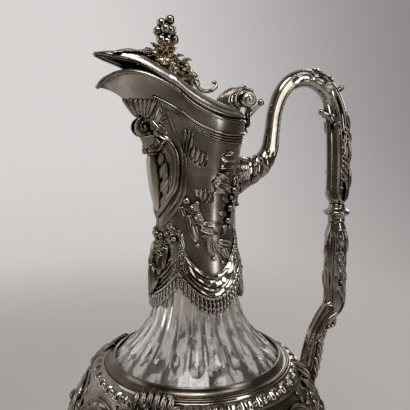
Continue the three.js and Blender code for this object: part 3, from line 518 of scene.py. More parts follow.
def makeNeckTurns():
    # the flared part is no circle: for each height, the curve's own angle at each whole degree round the axis
    turns = np.radians(np.arange(181.0))
    levels = np.arange(neck["foot"], 277, 0.5)
    angle, z = np.meshgrid(math.pi + turns, levels)
    spots = neckPoint(angle, shareAt(angle, z))
    seen = np.arctan2(-spots[..., 1], -spots[..., 0])
    return np.array([np.interp(turns, row, turns) for row in seen])


neckTurns = makeNeckTurns()


def onNeck(degrees, z, lift):
    # degrees round the axis from the front, positive on the side that the camera sees
    degrees, z, lift = np.broadcast_arrays(degrees, z, lift)
    wrapped = np.mod(degrees + 180, 360) - 180
    column = np.clip(np.abs(wrapped), 0, 179.99)
    row = np.clip((z - neck["foot"]) / 0.5, 0, len(neckTurns) - 1.01)
    i, j = row.astype(int), column.astype(int)
    s, t = row - i, column - j
    turn = (neckTurns[i, j] * (1 - t) + neckTurns[i, j + 1] * t) * (1 - s)
    turn = turn + (neckTurns[i + 1, j] * (1 - t) + neckTurns[i + 1, j + 1] * t) * s
    angle = math.pi + np.where(wrapped < 0, -turn, turn)
    return onShare(angle, shareAt(angle, z), lift)


def belowRim(angle, distance, lift):
    along = unit(neckPoint(angle, 1) - neckPoint(angle, 0.97))
    normal = neckNormal(angle, np.full_like(angle, 0.99))
    return neckPoint(angle, 1) - along * np.asarray(distance)[..., None] + normal * np.asarray(lift)[..., None]


# casing surface

casingOutline = [
    (48.6, 126.2), (54.8, 121.4), (60.2, 113.6), (64.6, 104.6), (68.4, 95), (71, 85.5), (71.6, 76),
    (69.6, 66.4), (64.4, 57.4), (55.6, 49.6), (39, 41.6), (20.5, 37.6),
]
casingPath = pathThrough(casingOutline)
casingRadius = curveThrough([(z, r) for r, z in reversed(casingOutline)])


def onCasing(degrees, z, lift):
    angle = math.pi + np.radians(degrees)
    slope = casingRadius(z + 0.5) - casingRadius(z - 0.5)
    long = np.hypot(1, slope)
    return around(casingRadius(z) + lift / long, angle, z - lift * slope / long)


def revolved(bm, outline, columns):
    # spins an outline of (r, z) points in mm about the jug's axis
    verts = [bm.verts.new((r * mm, 0, z * mm)) for r, z in outline]
    edges = [bm.edges.new(pair) for pair in zip(verts, verts[1:])]
    bmesh.ops.spin(
        bm, geom=verts + edges, cent=(0, 0, 0), axis=(0, 0, 1), angle=fullTurn, steps=columns, use_merge=True,
    )
    bmesh.ops.remove_doubles(bm, verts=bm.verts, dist=weldDistance)
    bmesh.ops.recalc_face_normals(bm, faces=bm.faces)


# glass

glass = {
    "flutes": 24, "wall": 3.2, "columns": 288, "depth": 2.1, "top": 236, "foot": 132.5,
    # rows of the mesh down the neck: from, to and how many
    "levels": [(236, 196, 6), (194, 150, 34), (148.5, 128.2, 44)],
    "neck": [
        (18.5, 236), (18.6, 195), (19.8, 176), (21.4, 163.5), (24.2, 152.8), (25.8, 148.2), (27.5, 145.6),
        (30.8, 141.2), (35.5, 136), (39.7, 132), (43.6, 128.2),
    ],
}


def makeGlass():
    radius = curveThrough([(z, r) for r, z in reversed(glass["neck"])])
    bulb = [(r - 2.1, z) for r, z in casingOutline[1:-1]]
    levels = np.concatenate([np.linspace(*rows) for rows in glass["levels"]])
    outside = [(float(radius(z)), float(z)) for z in levels]
    inside = [(r - glass["wall"], z) for r, z in outside]
    outside += [(46, 125.6)] + bulb + [(26, 41.4), (0.01, 40.6)]
    inside += [(r - 4, z - 1.5 if z > 76 else z + 2.5) for r, z in bulb] + [(0.01, 46)]
    inside[0] = (14, glass["top"])
    outline = np.array(outside[::-1] + inside)
    flutePitch = fullTurn / glass["flutes"]

    def place(u, v):
        row = np.clip(np.rint(v * (len(outline) - 1)).astype(int), 0, len(outline) - 1)
        r, z = outline[row].T
        angle = u * fullTurn
        across = 2 * np.mod(angle / flutePitch, 1) - 1
        fade = np.clip((z - glass["foot"]) / 4, 0, 1) ** 0.5 * np.clip((196 - z) / 12, 0, 1)
        width = np.maximum(fade * 0.96, 1e-3)
        cut = np.clip(1 - (across / width) ** 2, 0, 1) * fade
        depth = glass["depth"] * np.clip(r / 34, 0.35, 1.1)
        ribs = 0.45 * alternate(3 * angle / flutePitch) * np.clip((z - 146) / 6, 0, 1)
        carved = (row < len(outside)) & (z > 128) & (z < 197)
        return around(r - np.where(carved, cut * depth + ribs, 0), angle, z)

    gridPiece(
        "cut_glass", ["glass_vessel"], glass["columns"], len(outline) - 1, place, turned=True, material=crystal,
        slot="crystal",
    )


makeGlass()
print("glass made")

# neck sleeve and rim


def sleeve(u, v):
    angle = u * fullTurn
    end = belowRim(angle, np.full_like(angle, 1.2), 0 * v)
    return np.where((v > 0.999)[..., None], end, onShare(angle, v * 0.995, 0 * v))


def rimWire(u, v):
    wire, turn = neck["wireRadius"], v * fullTurn
    swell = 1 - 0.22 * bump(v, 0.42, 0.05)
    out = wire * np.sin(turn) * swell - neck["sheet"] / 2
    return belowRim(u * fullTurn, wire * (1 - np.cos(turn) * swell), out)


reeds = {
    "reach": 130, "width": 0.115, "height": 1.15,
    # middle of the band from the front to its ends, as a share of the neck's height
    "middle": [(0, 0.825), (0.35, 0.82), (0.6, 0.82), (0.85, 0.825), (1, 0.84)],
    # place, width and height of each reed
    "profile": [(0.09, 0.085, 0.9), (0.3, 0.1, 0.8), (0.53, 0.1, 0.8), (0.82, 0.17, 1)],
}
reedMiddle = curveThrough(reeds["middle"])


def reededBand(u, v):
    x = 2 * u - 1
    out = np.abs(x)
    width = reeds["width"] * (1 - 0.85 * out ** 3)
    profile = np.maximum.reduce([high * ridge(v, middle, wide) for middle, wide, high in reeds["profile"]])
    lift = reeds["height"] * profile * (1 - 0.35 * out) + 0.1
    return onShare(x * math.radians(reeds["reach"]), reedMiddle(out) + width * (v - 0.5), sunk(lift, -0.3, v))


gridPiece("sleeve_sheet", ["neck_sleeve"], 200, 90, sleeve, material=plate, wall=neck["sheet"])
gridPiece("rim_wire", ["spout_rim_wire"], 220, 14, rimWire, turned=True)
gridPiece("rim_reeds", ["reeded_band"], 180, 48, reededBand, closed=False, wall=0.5)
print("neck made")

# ornament is laid by a tuple of the mesh, the surface, the side (1 where the camera sees it) and the radius at
# which widths in mm turn into degrees. Routes are in degrees from the front and heights in mm


def flatPath(route, radius):
    return pathThrough([(math.radians(degrees) * radius, z) for degrees, z in route])


def awayFrom(lay, spot):
    # the direction that a surface faces at one place
    _, on, side, _ = lay
    degrees, z = np.array([float(side * spot[0])]), np.array([float(spot[1])])
    foot, tip = (on(degrees, z, np.array([lift]))[0] for lift in (0.0, 1.0))
    return Vector(tip - foot)


def layStrip(lay, route, halfWidth, height, columns=80, rows=10):
    # a strip along a route: halfWidth(u) and height(u, x), with x from -1 to 1 across it
    bm, on, side, radius = lay
    path = flatPath(route, radius)

    def place(u, v):
        ahead = headingAlong(path, u, 0.01)
        x = 2 * v - 1
        across = x * halfWidth(u)
        here = path(u)
        flat = here[..., 0] + ahead[..., 1] * across
        z = here[..., 1] - ahead[..., 0] * across
        return on(side * np.degrees(flat / radius), z, sunk(height(u, x), -0.3, u, v))

    addGrid(bm, columns, rows, place, awayFrom(lay, route[len(route) // 2]))


def layCord(lay, route, size, columns=60, rows=8, taper=0.5):
    # a round moulding, thinner towards both ends
    def thick(u):
        return size * (1 - taper * np.abs(2 * u - 1) ** 3)

    layStrip(lay, route, thick, lambda u, x: 1.25 * thick(u) * domed(x), columns, rows)


def layPatch(lay, top, foot, height, columns=60, rows=12, wave=(0, 0)):
    # a patch between two borders, with height(u, v) along and down it
    bm, on, side, radius = lay
    upper, lower = flatPath(top, radius), flatPath(foot, radius)

    def place(u, v):
        down = v + wave[0] * np.sin(fullTurn * wave[1] * u + 2.4 * v)
        spot = upper(u) + (lower(u) - upper(u)) * down[..., None]
        return on(side * np.degrees(spot[..., 0] / radius), spot[..., 1], sunk(height(u, v), -0.3, u, v))

    addGrid(bm, columns, rows, place, awayFrom(lay, top[len(top) // 2]))


def layLeaf(lay, degrees, z, heading, length, width, height, lobes=0, curl=0.0, hollow=0.0):
    # a leaf from its foot, with its heading in degrees above level and away from the front.
    # without lobes it is a smooth blade, dished where hollow is above 0
    bm, on, side, radius = lay
    turned = math.radians(heading)

    def place(u, v):
        x = 2 * v - 1
        off = np.abs(x)
        shape = np.sin(math.pi * np.clip(0.05 + 0.95 * u, 0, 1) ** 0.85) ** 0.7
        if lobes:
            notch = np.abs(2 * np.mod(lobes * u + 0.5, 1) - 1)
            half = width / 2 * shape * (0.55 + 0.45 * notch ** 0.6)
            along = length * u + 0.3 * width * off * shape * (notch - 0.35)
            lobe = 0.55 + 0.45 * np.cos(fullTurn * (lobes * u - 0.28 * off))
            lift = height * (0.3 + 0.75 * lobe * (0.25 + off * (1.4 - 1.1 * off)))
            lift = lift + 0.4 * height * bump(x, 0, 0.13) - 0.3 * height * bump(off, 0.27, 0.09)
        else:
            half = width / 2 * shape
            along = length * u
            lift = height * (1 - 0.6 * x ** 2) * (1 - hollow) + hollow * height * (0.3 + 0.7 * x ** 2)
            lift = lift + height * (0.3 * bump(x, 0, 0.14) - 0.12 * bump(off, 0.3, 0.12))
        lift = lift * arch(0.12 + 0.8 * u) ** 0.6
        across = x * half + curl * length * np.sin(math.pi * u / 2) ** 2
        dx = along * math.cos(turned) - across * math.sin(turned)
        dz = along * math.sin(turned) + across * math.cos(turned)
        return on(side * (degrees + np.degrees(dx / radius)), z + dz, sunk(lift, -0.25, u, v))

    columns, rows = (9 * lobes + 4, 16) if lobes else (20, 12)
    addGrid(bm, columns, rows, place, awayFrom(lay, (degrees, z)))


def layBead(lay, degrees, z, size, detail=2):
    bm, on, side, _ = lay
    middle = on(np.array([side * degrees]), np.array([float(z)]), np.array([size * 0.65]))[0]
    addBall(bm, middle, size, detail)


def layAll(laying, lay, rows, **same):
    for row in rows:
        laying(lay, *row, **same)


def onBothSides(bm, on=onNeck, radius=neck["ornamentRadius"]):
    return [(bm, on, side, radius) for side in (1, -1)]


def ornament(name, nodes, build, material=silver, wall=0.35, slot="silver"):
    bm = bmesh.new()
    build(bm)
    finishPiece(name, bm, nodes, material, wall=wall, slot=slot)


def sidePiece(name, side, piece, node, build, on=onNeck, radius=neck["ornamentRadius"], **finish):
    ornament(f"{piece}_{name}", [f"{node}_{name}"], lambda bm: build((bm, on, side, radius)), **finish)


bothSides = (("left", 1), ("right", -1))
worn = {"material": gilded, "slot": "worn_silver"}

# cartouche on the front of the neck

cartouche = {
    "rim": [
        (0, 197.5), (16, 200), (32, 205.4), (46.6, 212.3), (52.7, 217.6), (54.8, 223.7), (54.7, 231.6),
        (53.1, 235.6), (50.3, 238.3), (46, 243.3), (42, 247.2), (38.6, 251.8), (36.5, 256.7), (34.2, 260.4),
    ],
    "second": [
        (0, 200.2), (12, 202), (22, 205.6), (36.6, 211.5), (45.6, 217), (48.9, 223.4), (49.9, 231.5),
        (49.1, 237.1), (45.7, 241.8), (40.6, 246.4), (34.3, 251), (28.8, 254.6),
    ],
    "broad": [
        (0, 204), (16.9, 209), (30.9, 215.3), (38.8, 219.5), (42.2, 225.5), (43.4, 231.5), (42.6, 236.3),
        (38.6, 240.2), (31.5, 243.6),
    ],
    "inner": [
        (0, 208.5), (10, 211), (18, 214.2), (27, 219.2), (31.6, 225.6), (32.4, 231.4), (28.6, 236), (21, 239),
    ],
    "innerAbove": [(26, 246), (27.5, 252)],
    "leaves": [
        (11.5, 209.5, 58, 10, 4.4), (12, 216.5, 62, 10, 4.8), (12.5, 223.5, 66, 10, 4.6), (14, 230, 70, 7, 3.6),
        (19, 215, 74, 8, 3.4), (22, 222, 88, 8.5, 3.4),
    ],
    "leafStem": [(15, 212.5), (20, 217), (24.5, 222.5), (27, 229), (24.5, 235.5)],
}


def buildCartoucheFrame(bm):
    rim = cartouche["rim"]
    for lay in onBothSides(bm):
        layPatch(lay, rim, cartouche["inner"] + cartouche["innerAbove"], lambda u, v: 0.35 + 0.35 * v, 90, 14)
        layCord(lay, rim, 0.62, 110, taper=0.4)
        layCord(lay, cartouche["second"], 0.8, 110, taper=0.3)
        layStrip(
            lay, cartouche["broad"], lambda u: 1.75 * (1 - 0.5 * u ** 4) * (1 - 0.25 * (1 - u) ** 3),
            lambda u, x: 0.7 + 1.5 * domed(x) - 0.35 * bump(x, -0.45, 0.16), 110, 16,
        )
        layCord(lay, cartouche["inner"], 0.6, 90, taper=0.4)


def cartouchePanel(u, v):
    x = 2 * u - 1
    dome = arch(v) ** 0.6
    lift = 0.4 + (2.4 + 3.4 * v ** 0.8) * np.clip(1 - x ** 4, 0, 1) ** 0.5 * dome ** 0.5
    return onNeck(11 * (0.5 + 0.5 * dome) * x, 206 + 30.5 * v, sunk(lift, -0.3, u, v))


def buildCartoucheLeaf(lay):
    layAll(layLeaf, lay, cartouche["leaves"], height=2, curl=-0.16, hollow=0.5)
    layCord(lay, cartouche["leafStem"], 0.5, 50)


crest = {
    "top": [(0, 246), (12, 246), (24, 246.5), (33, 245)],
    "foot": [(0, 235.6), (10, 235.4), (20, 237.5), (31, 241.5)],
    # routes of the angular folds and their half width
    "zigzags": [
        ([(19.1, 243.9), (26.3, 240.6), (34, 242.7)], 0.6), ([(9, 240.8), (18.6, 237.6), (26.6, 239.4)], 0.6),
        ([(19.1, 243.9), (15, 240.9), (18.6, 237.6)], 0.55), ([(26.3, 240.6), (26.6, 239.4)], 0.5),
        ([(3, 239.5), (8.5, 236.4), (17, 236.4)], 0.55),
    ],
    "leaves": [
        (17.5, 247, 57, 11, 5.4, 1.7, 4, -0.14), (8, 250.5, 72, 10, 4.6, 1.6, 3, -0.1),
        (39, 240.5, 132, 11, 3.6, 2, 0, 0.16), (33, 244.5, 118, 9.5, 3.4, 1.8, 0, 0.1),
        (24, 250, 78, 8.5, 3, 1.6, 0, -0.1),
    ],
    "stem": [(12, 246.4), (19, 246.8), (25.5, 244.6), (31.5, 242.8)],
}


def crestHeight(u):
    return 0.9 + 2.8 * np.clip(1 - u / 0.6, 0, 1) ** 0.7


def layFold(lay, start, end, size):
    middle = ((start[0] + end[0]) / 2, (start[1] + end[1]) / 2)
    height = 1.8 + float(crestHeight(np.array(middle[0] / 33)))
    layStrip(lay, [start, middle, end], lambda u: size + 0 * u, lambda u, x: height + 0 * x, 8, 4)


def buildCrestShell(bm):
    sides = onBothSides(bm)
    for lay in sides:
        layPatch(
            lay, crest["top"], crest["foot"],
            lambda u, v: crestHeight(u) + 0.35 * alternate(3 * u + 2 * v), 40, 16,
        )
        for route, size in crest["zigzags"]:
            for start, end in zip(route, route[1:]):
                layFold(lay, start, end, size)
        layAll(layLeaf, lay, crest["leaves"])
        layCord(lay, crest["stem"], 0.6, 30)
    layLeaf(sides[0], 0, 251.5, 90, 10, 4.6, 1.6, 3)


crestRoll = {"x": -28.5, "z": 248.6, "halfWidth": 4.6, "turns": 1.5, "radius": 4.8, "start": -math.radians(60)}


def buildCrestVolute(bm):
    middleX, middleZ, across = crestRoll["x"], crestRoll["z"], crestRoll["halfWidth"]

    def roll(u, v):
        angle = crestRoll["start"] - u * crestRoll["turns"] * fullTurn
        r = 4.5 - 3 * u
        half = across * (0.6 + 0.2 * np.cos(math.pi * u))
        z = middleZ + r * np.sin(angle) + 0.2 * np.cos(fullTurn * 2.5 * (2 * v - 1))
        return stack(middleX + r * np.cos(angle), half * (2 * v - 1), z)

    addGrid(bm, 70, 40, roll, outward="middle")
    for side in (1, -1):
        def disc(u, v):
            angle, r = u * fullTurn, crestRoll["radius"] * v
            coil = np.mod(2.2 * v + side * u, 1)
            raised = 1.1 * ridge(coil, 0.5, 0.24) * (v > 0.2) + 1.6 * domed(v / 0.24) * (v < 0.24)
            y = -side * (across * 0.82 + np.where(v > 0.97, -0.8, raised))
            return stack(middleX + r * np.cos(angle), y, middleZ + r * np.sin(angle))

        addGrid(bm, 72, 30, disc, outward=Vector((0, -side, 0)), closed=True)


fan = {"flutes": 13, "foot": 254.4, "tip": 262.2}


def spoutFan(u, v):
    x = 2 * u - 1
    phase = fan["flutes"] * u
    tip = fan["tip"] - 1.2 * x ** 2 - 1.7 * (1 - alternate(phase, 0.5))
    lift = 0.25 + (0.4 + 1.3 * alternate(phase, 0.6)) * arch(0.2 + 0.72 * v) ** 0.7
    lift = lift - 0.35 * bump(np.mod(phase, 1), 0.5, 0.13) * (v > 0.25)
    return onNeck((20 + 8.5 * v) * x, fan["foot"] + (tip - fan["foot"]) * v, sunk(lift, -0.2, u, v))


pendant = {
    "front": [(0, 194.8, 2), (13, 194.8, 1.7), (-13, 194.8, 1.7)],
    "leaves": [
        (4, 191.5, -12, 9, 4, 1.8, 3, 0.1), (3, 190.5, -52, 9, 4, 1.9, 3), (15, 198.5, -28, 9, 3.8, 1.6, 3, -0.1),
        (27, 202, -52, 10, 3.6, 1.5, 3), (25, 196.5, 14, 8, 3.2, 1.5, 0, 0, 0.5),
    ],
    "beads": [(24, 196, 1.5), (30, 192.6, 1.2), (36.6, 194.2, 1.5), (18.6, 188.4, 1.3), (11, 186.6, 1)],
}


def buildPendant(bm):
    sides = onBothSides(bm)
    layAll(layBead, sides[0], pendant["front"], detail=3)
    for lay in sides:
        layAll(layLeaf, lay, pendant["leaves"])
        layAll(layBead, lay, pendant["beads"])
    layLeaf(sides[0], 0, 192, -90, 9, 5, 2.2, 3)


ornament("cartouche_moulding", ["cartouche_frame"], buildCartoucheFrame, **worn)
# the field's pale cream is a painted reflection of the backdrop
ornament(
    "cartouche_field", ["cartouche_panel"], lambda bm: addGrid(bm, 40, 40, cartouchePanel), reflectionCream, slot="worn_silver",
)
ornament("crest_leaves", ["crest_shell"], buildCrestShell, **worn)
ornament("crest_scroll", ["crest_volute"], buildCrestVolute, wall=0.4, **worn)
ornament("spout_shell_fan", ["spout_fan"], lambda bm: addGrid(bm, fan["flutes"] * 12, 22, spoutFan), **worn)
ornament("pendant_husks", ["cartouche_pendant"], buildPendant, **worn)
for name, side in bothSides:
    sidePiece(name, side, "cartouche_acanthus", "cartouche_leaf", buildCartoucheLeaf, **worn)
print("cartouche made")

# ribbons and laurel on the flanks

ribbons = {
    # upper border, lower border, (folds, lean, height, swept or not), columns, (depth and number of waves)
    "first": (
        [(51.4, 246.9), (58.1, 246.8), (64.6, 244.4)], [(53.6, 238.2), (57.4, 236), (61, 234.2)],
        (3, 0.9, 1.3, True), 84, (0.09, 3),
    ),
    "second": (
        [(60.4, 238.6), (65.9, 238.9), (76.2, 236.8), (82.6, 236.3)],
        [(60.2, 234.2), (65.7, 231.6), (75.9, 230.2), (81.6, 231.4)],
        (4, 1, 1.2, True), 100, (0.1, 4),
    ),
    "knot": (
        [(109.6, 237.4), (103.5, 235), (98.4, 231.4), (97.4, 228.8)],
        [(113, 237), (123, 234), (123.2, 229.4), (115, 227)],
        (3, 0.9, 1.8), 84, (0.1, 1.5),
    ),
    "middle": (
        [(95.5, 226.8), (91.2, 223), (90.6, 219.8), (89.6, 216.6)],
        [(113, 227), (115.6, 222.6), (115.4, 219), (108, 216)],
        (3, -0.9, 1.9), 80, (0.1, 1.5),
    ),
    "lower": (
        [(62.6, 219), (74.4, 219), (81, 218.4), (88.6, 217.8)],
        [(64.4, 217.2), (75.7, 213), (81.7, 212.4), (92.4, 212.4)],
        (4.4, 1.2, 1.1, True), 100, (0.1, 4.4),
    ),
    "hem": [(54, 237.4), (60.3, 233.4), (65.7, 230.8), (75.9, 229.4), (82, 230.8)],
}


def pleated(folds, lean, height, swept=False):
    # swept folds rise steeply on one side and fall away slowly on the other
    def lift(u, v):
        phase = folds * u + lean * (v - 0.5)
        fold = alternate(phase) + 0.25 * alternate(2 * phase + 0.5)
        if swept:
            step = np.mod(phase, 1)
            fold = np.minimum(step / 0.22, (1 - step) / 0.78)
        return 0.4 + height * fold * (0.5 + 0.5 * arch(0.1 + 0.8 * v))

    return lift


def layRibbon(lay, name):
    top, foot, folds, columns, wave = ribbons[name]
    layPatch(lay, top, foot, pleated(*folds), columns, 16, wave)


def buildUpperRibbon(lay):
    layRibbon(lay, "first")
    layRibbon(lay, "second")
    layCord(lay, ribbons["hem"], 0.5, 60)


def buildLowerRibbon(lay):
    for name in ("knot", "middle", "lower"):
        layRibbon(lay, name)
    layBead(lay, 54.9, 213.4, 1.7, 3)
    layBead(lay, 68.4, 212.2, 1.4)


laurel = {
    "stem": [(45.2, 210.7), (58.7, 207.9), (72.3, 202.1), (86.3, 195), (94.8, 188.8), (103.9, 182.8)],
    # foot, tip and width of each leaf
    "leaves": [
        (58.7, 210.8, 71.9, 207.8, 3.9), (64.1, 205.2, 78.1, 203.3, 3.9), (59.6, 203.5, 68.6, 192.6, 3.6),
        (72.5, 202, 104.7, 201.6, 2.1), (72, 199.8, 99, 196.6, 2.4), (76, 196.6, 93.5, 191, 2.1),
        (84.4, 194, 90.8, 185.2, 3.4), (89.1, 193.2, 100.6, 186.6, 2.8), (97, 192.4, 124.9, 189.8, 4.2),
        (103.3, 189.6, 116.4, 183, 3.4), (46.2, 210.6, 51.3, 204.2, 2.6), (66, 206.4, 76, 206.6, 2.6),
        (57, 206.6, 61.4, 199, 2.8),
    ],
    "berries": [(68.9, 191.6, 1.1), (91, 184.6, 1.2), (106.8, 199.7, 0.9), (103.5, 182.4, 1), (117, 182.6, 1)],
}


def buildLaurel(lay):
    layCord(lay, laurel["stem"], 0.6, 60)
    for degrees, z, tip, tipZ, width in laurel["leaves"]:
        dx, dz = math.radians(tip - degrees) * neck["ornamentRadius"], tipZ - z
        heading = math.degrees(math.atan2(dz, dx))
        layLeaf(lay, degrees, z, heading, math.hypot(dx, dz), 1.35 * width, 1.9, hollow=0.65)
    layAll(layBead, lay, laurel["berries"])


husks = {
    "beads": [
        (126, 217.4, 2.1), (121, 214, 1.3), (124.6, 211.4, 1.6), (117.6, 208.8, 2), (120.8, 205.2, 1.3),
        (114, 202.8, 1.7), (116.6, 199.4, 1.1),
    ],
    "leaves": [
        (128, 219, 70), (126, 213, 20), (121, 216, 130), (120, 207, 10), (114.6, 206, 170), (116, 203, -30),
        (113, 201, -120), (118, 211.6, 150),
    ],
}


def buildHusks(lay):
    # between the ribbon and the handle's root, on the route of their node
    layAll(layBead, lay, husks["beads"], detail=3)
    layAll(layLeaf, lay, husks["leaves"], length=6.5, width=3, height=1.5, hollow=0.4)


flankPieces = [
    ("ruffled_ribbon", "upper_ribbon", buildUpperRibbon, {"material": crispSilver}),
    ("trailing_ribbon", "lower_ribbon", buildLowerRibbon, {"material": crispSilver}),
    ("laurel_branch", "laurel_spray", buildLaurel, {"material": crispSilver}),
    ("husk_beads", "husk_string", buildHusks, worn),
]
for name, side in bothSides:
    for piece, node, build, finish in flankPieces:
        sidePiece(name, side, piece, node, build, **finish)
print("ribbons and laurel made")

# drapery and fringe round the foot of the sleeve

drapery = {
    "peak": 170.5,
    "drop": 13.5,
    "top": 194,
    # crescent folds: place at the gathered end, place at the deepest point, half width and height
    "folds": [(0.3, 0.12, 0.12, 1.3), (0.4, 0.42, 0.24, 2.3), (0.52, 0.66, 0.13, 1.3), (0.62, 0.89, 0.15, 1.5)],
    # leaves at each corner, on either side of it
    "leaves": [(-2, 198.6, -78, 11), (2.5, 197, -100, 10), (1, 190, -84, 9)],
    # over the front swag
    "front": [
        (6, 188, -66, 12, 4, 3.2, 3, -0.1),
        (16, 186, -98, 12, 3.4, 2.8, 0, 0.1),
        (25, 190, -104, 13, 3, 2.4, 0, 0.12),
    ],
    "threads": 76,
}
skirtRadius = curveThrough([(150, 25.2), (158, 24), (167, 22.7), (176, 22.15), (185, 21.3), (195, 20.85), (200, 20.75)])


def swagShare(angle):
    return np.abs(np.cos(2 * angle))


def fringeTop(angle):
    return drapery["peak"] + 7 - (drapery["drop"] - 1) * swagShare(angle)


def onSkirt(angle, z, lift):
    return around(skirtRadius(z) + lift, angle, z)


def onDrape(degrees, z, lift):
    return onSkirt(math.pi + np.radians(degrees), z, lift)


def buildDrapery(bm):
    def place(u, v):
        angle = u * fullTurn
        low = swagShare(angle)
        depth = low ** 0.7
        cloth = 0 * v
        for gathered, deepest, width, height in drapery["folds"]:
            middle = gathered + (deepest - gathered) * depth
            # wide above the crest and steep below it
            s = (v - middle) / (width * (0.5 + 0.5 * depth))
            fold = np.clip(np.where(s < 0, 1 + s, 1 - s / 0.5), 0, 1)
            uneven = 1 + 0.22 * np.sin(11 * angle + 9 * middle) + 0.12 * np.sin(26 * angle - 5 * middle)
            cloth = np.maximum(cloth, height * uneven * (0.45 + 0.55 * depth) * fold * (1.25 - 0.25 * fold))
        pleats = alternate(angle * 17 + 2.2 * np.sin(3 * v), 1.2)
        near = np.clip(1 - low / 0.42, 0, 1) ** 0.6
        lift = 0.35 + cloth * (1 - 0.85 * near) + 0.9 * pleats * near
        top, foot = drapery["top"] - 17 * low ** 0.85, fringeTop(angle) + 0.3
        return onSkirt(angle, top + (foot - top) * v, sunk(lift, -0.1, v))

    addGrid(bm, 400, 84, place, closed=True)
    front, back = onBothSides(bm)
    for lay, corner in ((front, 45), (front, 135), (back, 45), (back, 135)):
        for off, z, heading, length in drapery["leaves"]:
            layLeaf(lay, corner + off, z, heading, length, 2.8, 1.1, curl=0.08)


def buildDraperyLeaf(bm):
    # hangs over the front swag, its veins sweeping down to the tip
    def place(u, v):
        x = 2 * u - 1
        half = 17 * arch(0.1 + 0.9 * (1 - v)) ** 0.6 * (1 - 0.25 * v)
        veins = alternate(3.5 * x * (1 - 0.2 * v), 0.8)
        z = 180 - 14.5 * v - 2.6 * (1 - np.abs(x)) * v + 1.1 * veins * v
        lift = 2.3 + 1.5 * veins * (1 - 0.4 * v) + 1.1 * bump(x, 0, 0.12)
        return onDrape(half * x, z, sunk(lift, 1.1, u, v))

    addGrid(bm, 70, 30, place)
    for lay in onBothSides(bm, onDrape):
        layAll(layLeaf, lay, drapery["front"])


def buildFringe(bm):
    threads = drapery["threads"]

    def place(u, v):
        angle = u * fullTurn
        phase = np.mod(u * threads, 1) * 2 - 1
        twist = 0.2 * np.sin(fullTurn * (3 * v + phase * 0.5))
        lift = 0.3 + domed(phase) ** 0.8 * (1.35 + twist) * (1 - 0.2 * v) + 0.4 * np.sin(math.pi * v)
        gap = np.where(np.abs(phase) > 0.8, 1.5, 0) * (v > 0.9)
        foot = drapery["peak"] - drapery["drop"] * swagShare(angle) + 0.45 * np.sin(angle * 37) + gap
        top = fringeTop(angle)
        return onSkirt(angle, top + (foot - top) * v, np.where(v > 0.985, 0.1, lift))

    def cord(u, v):
        angle, turn = u * fullTurn, v * fullTurn
        rope = 1 + 0.16 * np.sin(fullTurn * (60 * u) + turn)
        top = fringeTop(angle)
        radius = skirtRadius(top) + 1.1 + 0.75 * rope * np.cos(turn)
        return around(radius, angle, top + 0.2 + 0.85 * rope * np.sin(turn))

    addGrid(bm, threads * 8, 16, place, closed=True)
    addGrid(bm, 480, 8, cord, outward="middle", closed=True)


ornament("drapery_cloth", ["drapery_swags"], buildDrapery, crispSilver, wall=0.5)
ornament("drapery_leaf_front", ["drapery_leaf"], buildDraperyLeaf, wall=0.5, **worn)
ornament("fringe_threads", ["bullion_fringe"], buildFringe, crispSilver, wall=0.4)
print("drapery made")

# lid

lid = {
    "reach": 52, "wall": 1.2, "rows": 40,
    # inset and height of the edge's rows of the mesh
    "edge": [(0.5, -0.2), (0, 0), (-0.1, 0.5), (0.1, 0.9), (0.9, 1.9), (1.5, 2.5), (1.8, 2.6), (2, 2.3)],
}
lidEdge = curveThrough([
    (-52, 280.2), (-46, 278.8), (-40, 277.6), (-35, 276.4), (-30, 274.2), (-25, 271), (-18, 266.7),
    (-12.3, 261.7), (-5, 257.3), (5, 254), (15, 253.1), (25, 253),
])
lidRidge = curveThrough([
    (-52, 282.6), (-46, 283.7), (-41, 284), (-36, 284), (-30, 282.8), (-22, 278.8), (-12, 272), (-4, 267),
    (2, 264), (10.5, 261), (19, 258.6), (25, 256.6),
])


def lidPlan(angle, inset):
    x, y = rimPlan(angle)
    x = np.where(x < 0, x * lid["reach"] / neck["spoutReach"], x)
    narrowed = np.where(x < -20, 1 - inset / 14, 1 - inset / 24)
    return x * (1 - inset / 42) - inset * 0.1, y * narrowed


def lidDome(u, v):
    angle, count, row = u * fullTurn, len(lid["edge"]), v * lid["rows"]
    inset, lower = np.array(lid["edge"])[np.clip(row.astype(int), 0, count - 1)].T
    above = np.clip((row - count + 1) / (lid["rows"] - count + 1), 0, 1)
    inset = np.where(row >= count, 2.1, inset)
    x, y = lidPlan(angle, inset)
    # the edge is thinner at the spout
    thinner = 1.8 * np.clip((-22 - x) / 12, 0, 1)
    base = lidEdge(x) + np.where(row >= count, 2.3, thinner + lower * (1 - thinner / 2.6))
    line = 0.35 * bump(above, 0.3, 0.035) * (row >= count)
    t = above ** 0.9 * math.pi / 2
    return stack(x, y * np.cos(t), base + np.maximum(lidRidge(x) - base, 0.2) * np.sin(t) + line)


gridPiece(
    "lid_dome", ["lid_shell"], 220, lid["rows"], lidDome, Vector((0, 0, 1)),
    material=plate, body="lid", wall=lid["wall"],
)
print("lid made")

# hinge, thumb scroll and vine on the lid

hinge = {
    "x": 25.5, "z": 262.6, "knuckle": 3.6, "bore": 1.6, "pin": 1.3, "head": 3.9,
    # side view of the bracket's cheeks, and the route of its tail
    "cheek": [
        (24.9, 248.2), (26.8, 248.6), (27.3, 251), (27.2, 257), (27.6, 258.4), (28.6, 260.2), (28.9, 262.6),
        (25.5, 262.9), (25.2, 256),
    ],
    "tail": [(25.9, 0, 247.9), (26.6, 0, 250.6), (28.8, 0, 254.2), (32.4, 0, 257.8), (36.2, 0, 260.9)],
    "balls": [((37.4, 0, 262), 1.9), ((25.6, -4.6, 246.6), 1.5), ((25.6, 4.6, 246.6), 1.5)],
    "tongue": [(24.2, 265.4), (18.6, 262.6), (13, 261.3), (7, 263)],
}


